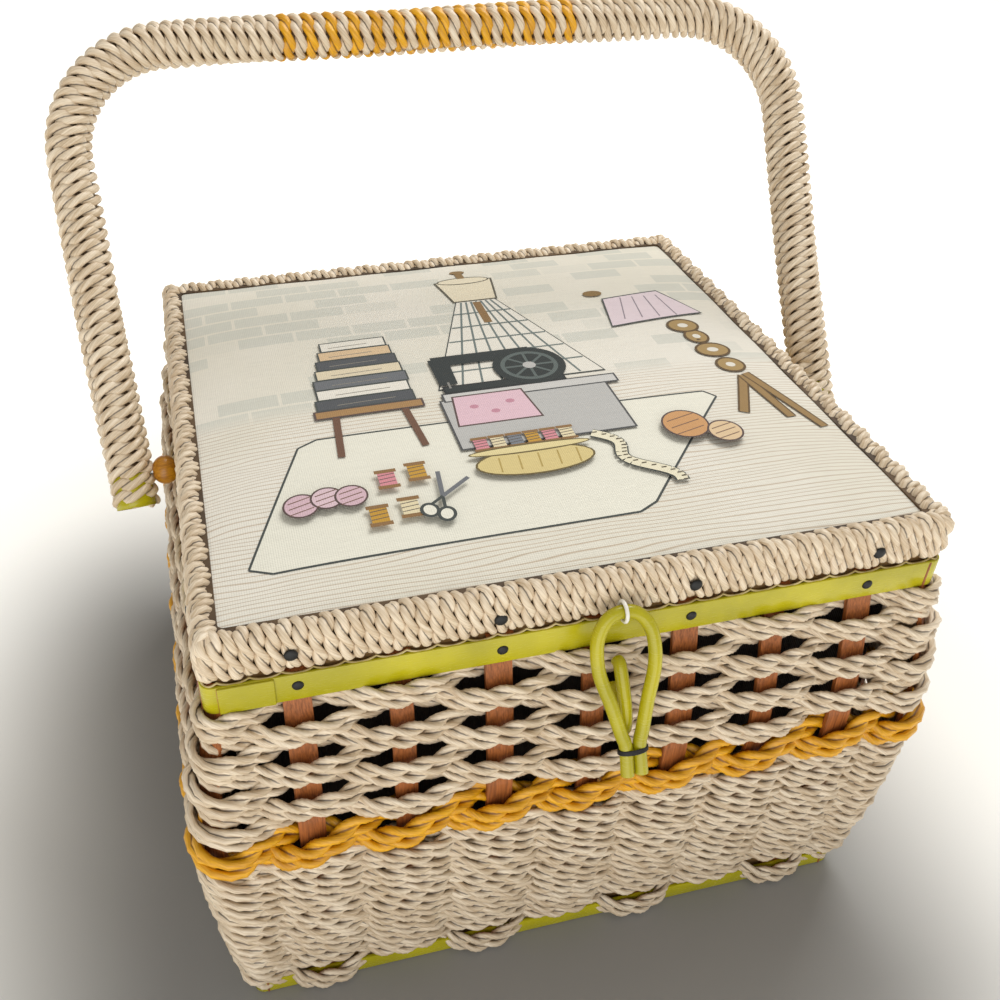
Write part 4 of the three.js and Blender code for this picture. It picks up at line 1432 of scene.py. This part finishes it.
# ---------------------------------------------------------------- inside, hinges and pincushion
class BASKET_OT_inside(bpy.types.Operator):
    """Line the basket and the lid, stuff the pincushion and finish the trays and the hinges"""

    bl_idname = "basket.inside"
    bl_label = "Finish the inside"

    def execute(self, context):
        random.seed(59)
        self.shade_backing()
        self.cloths()
        self.lid_cloth()
        self.pincushion()
        coat(shelf.pale_wood, "tray_ledge")
        coat(shelf.tray, "tray_upper", "tray_lower")
        for side in ("left", "right"):
            coat(shelf.brass, f"hinge_body_leaf_{side}", f"hinge_lid_leaf_{side}")
            coat(shelf.steel, f"hinge_pin_{side}")
        return {"FINISHED"}

    def wall(self, name, outward, foot, top, thickness):
        return rounded_hoop(name, outward, foot, top, thickness, 0.15 * MM, 4)

    def shade_backing(self):
        """A dark sheet that stands inside the staves and carries the lining. Its near-black colour is painted
        shade, so the gaps in the weave look dark.
        """
        low, high = node_box("lining")
        outward = high[0] - LID_HALF_X
        shade_backing = self.wall("lining_shade_backing", outward, low[2], high[2] - 0.5 * MM, 0.8 * MM)
        place(shade_backing, "basket", "lining_cloth", shelf.shade_backing, "lining")

    def cloths(self):
        """The lining's two cloths: one round the wall and one on the floor."""
        low, high = node_box("lining")
        outward = high[0] - LID_HALF_X - 1.1 * MM
        foot, top = low[2] + 0.2 * MM, high[2]
        wall = self.wall("lining_wall", outward, foot, top, 0.5 * MM)
        place(wall, "basket", "lining_cloth", shelf.lining)
        half_x, half_y = LID_HALF_X + outward, LID_HALF_Y + outward
        corner = LID_CORNER + outward
        corner = max(corner, 2 * MM)
        round_it = 4 * (half_x + half_y) - (8 - FULL_TURN) * corner
        floor = rounded_plate("lining_floor", half_x - 0.8 * MM, half_y - 0.8 * MM, corner,
                              foot + 1.0 * MM, 4)
        bpy.ops.object.mode_set(mode="OBJECT")
        modify(floor, "SOLIDIFY", thickness=0.5 * MM, offset=-1)
        place(smooth(floor), "basket", "lining_cloth", shelf.lining)
        2 * half_x
        2 * half_y

    def lid_cloth(self):
        low, high = node_box("lid_lining")
        half_x, half_y = (high[0] - low[0]) / 2, (high[1] - low[1]) / 2
        bpy.ops.object.select_all(action="DESELECT")
        bpy.ops.mesh.primitive_grid_add(x_subdivisions=60, y_subdivisions=56, size=2)
        cloth = added("lid_lining_cloth")
        cloth.scale = (half_x, half_y, 1)
        settle(cloth)
        for vertex in cloth.data.vertices:
            x, y, _ = vertex.co
            inward = min(half_x - abs(x), half_y - abs(y))
            pucker = math.sin(x / (5.3 * MM)) + math.sin(y / (5.9 * MM) + 1)
            vertex.co.z = low[2] + 0.6 * MM + 0.22 * MM * pucker * math.exp(-inward / (9 * MM))
        modify(cloth, "SOLIDIFY", thickness=0.5 * MM, offset=1)
        place(smooth(cloth, 60), "lid", "lining_cloth", shelf.lining, "lid_lining")

    def pincushion(self):
        """A stuffed velvet cushion, drawn in at its middle by a tuft."""
        low, high = node_box("pincushion")
        size = (high - low) / 2
        middle = (high + low) / 2
        bpy.ops.object.select_all(action="DESELECT")
        bpy.ops.mesh.primitive_uv_sphere_add(segments=96, ring_count=48, radius=1)
        cushion = added("stuffed_pincushion")
        for vertex in cushion.data.vertices:
            x, y, z = (math.copysign(abs(c) ** 0.62, c) for c in vertex.co)
            reach = math.hypot(x, y)
            tuft = 0.5 * math.exp(-(reach / 0.13) ** 2) if z < 0 else 0.0
            spokes = 0.035 * math.cos(12 * math.atan2(y, x)) * math.exp(-(reach / 0.4) ** 2)
            flat_z = max(min(z, 0.86), -1.0) * (1 - tuft + (spokes if z < 0 else 0.0))
            vertex.co = (middle[0] + x * size[0] * 0.98, middle[1] + y * size[1] * 0.98,
                         middle[2] + flat_z * size[2])
        place(smooth(cushion, 70), "lid", "velvet", shelf.velvet, "pincushion")


# ---------------------------------------------------------------- floor, lights and camera
def area_light(name, power, size, place_at, look_at):
    light = bpy.data.lights.new(name, "AREA")
    light.energy = power
    light.size = size
    lamp = bpy.data.objects.new(name, light)
    lamp.location = place_at
    lamp.rotation_euler = (Vector(look_at) - Vector(place_at)).to_track_quat("-Z", "Y").to_euler()
    bpy.context.scene.collection.objects.link(lamp)


class BASKET_OT_stage(bpy.types.Operator):
    """Set up the floor with a painted shadow round the basket and a glow away from it, the soft lights and
    the camera
    """

    bl_idname = "basket.stage"
    bl_label = "Set the stage"

    def execute(self, context):
        stage = context.scene.basket_stage
        bpy.ops.object.select_all(action="DESELECT")
        bpy.ops.mesh.primitive_plane_add(size=12, location=(0, 0, -0.2 * MM))
        floor = added("floor")
        f = Finish("floor")
        where = f.place()
        clouds = f.noise(where, 0.002, 2.0)
        x, y, _ = f.parts(where)
        distance = (x * x + y * y) ** 0.5
        # Painted light: the floor glows more the farther it is from the basket, so near the basket it stays
        # darker.
        glow = f.blend(distance.ease(230.0, 620.0), (0, 0, 0, 1), tint(0xFFFDF6))
        beside = ((x + 25).size() - 140).at_least(0.0)
        before = ((y + 35).size() - 150).at_least(0.0)
        apart = (beside * beside + before * before) ** 0.5
        paper = f.blend(clouds, tint(0xFBF9F2), tint(0xFFFDF8))
        # Painted shadow: the paper turns grey round the basket's foot, most to the front and left.
        paper = f.blend(apart.ease(0.0, 150.0), tint(0x8E8C88), paper)
        floor.data.materials.append(
            f.shade(paper, 0.75,
                    Emission_Color=glow, Emission_Strength=0.6))
        area_light("key", stage.key_power, 0.8, (0.5, 0.5, 1.25), (0, 0, 0.12))
        area_light("fill", stage.fill_power, 1.2, (-0.3, -1.15, 0.42), (0, 0, 0.12))
        world = bpy.data.worlds.new("surroundings")
        world.use_nodes = True
        world.node_tree.nodes["Background"].inputs["Color"].default_value = tint(0xFFFEFA)
        world.node_tree.nodes["Background"].inputs["Strength"].default_value = stage.sky
        context.scene.world = world
        context.scene.view_settings.view_transform = "Standard"
        camera = bpy.data.cameras.new("camera")
        camera.lens = stage.lens
        camera.sensor_width = 36
        camera.shift_x, camera.shift_y = 0.0669, -0.0379
        camera.clip_start = 0.01
        eye = bpy.data.objects.new("camera", camera)
        eye.location = (-0.1210, -0.3741, 0.4569)
        eye.rotation_euler = (math.radians(53.96), math.radians(-0.22), math.radians(-13.77))
        context.scene.collection.objects.link(eye)
        context.scene.camera = eye
        return {"FINISHED"}


class BASKET_PT_steps(bpy.types.Panel):
    """Every step of the basket, in order"""

    bl_label = "Sewing basket"
    bl_idname = "BASKET_PT_steps"
    bl_space_type = "VIEW_3D"
    bl_region_type = "UI"
    bl_category = "Basket"

    def draw(self, context):
        for name, group in GROUPS:
            box = self.layout.box()
            settings = getattr(context.scene, name)
            for prop in group.__annotations__:
                box.prop(settings, prop)
        for step in STEPS:
            self.layout.operator(step.bl_idname)


GROUPS = [
    ("basket_colours", BasketColours),
    ("basket_cord", CordSizes),
    ("basket_weave", WeaveSizes),
    ("basket_winding", WindingSizes),
    ("basket_stage", StageSizes),
]
STEPS = [
    BASKET_OT_stage,
    BASKET_OT_weave,
    BASKET_OT_bands,
    BASKET_OT_lid,
    BASKET_OT_handle,
    BASKET_OT_latch,
    BASKET_OT_inside,
]


def register():
    for name, group in GROUPS:
        bpy.utils.register_class(group)
        setattr(bpy.types.Scene, name, PointerProperty(type=group))
    for step in STEPS:
        bpy.utils.register_class(step)
    bpy.utils.register_class(BASKET_PT_steps)


def unregister():
    bpy.utils.unregister_class(BASKET_PT_steps)
    for step in reversed(STEPS):
        bpy.utils.unregister_class(step)
    for name, group in reversed(GROUPS):
        delattr(bpy.types.Scene, name)
        bpy.utils.unregister_class(group)


def main():
    register()
    shelf.fill(bpy.context.scene.basket_colours)
    bpy.ops.basket.stage()
    bpy.ops.basket.weave()
    bpy.ops.basket.bands()
    bpy.ops.basket.lid()
    bpy.ops.basket.handle()
    bpy.ops.basket.latch()
    bpy.ops.basket.inside()


if __name__ == "__main__":
    main()
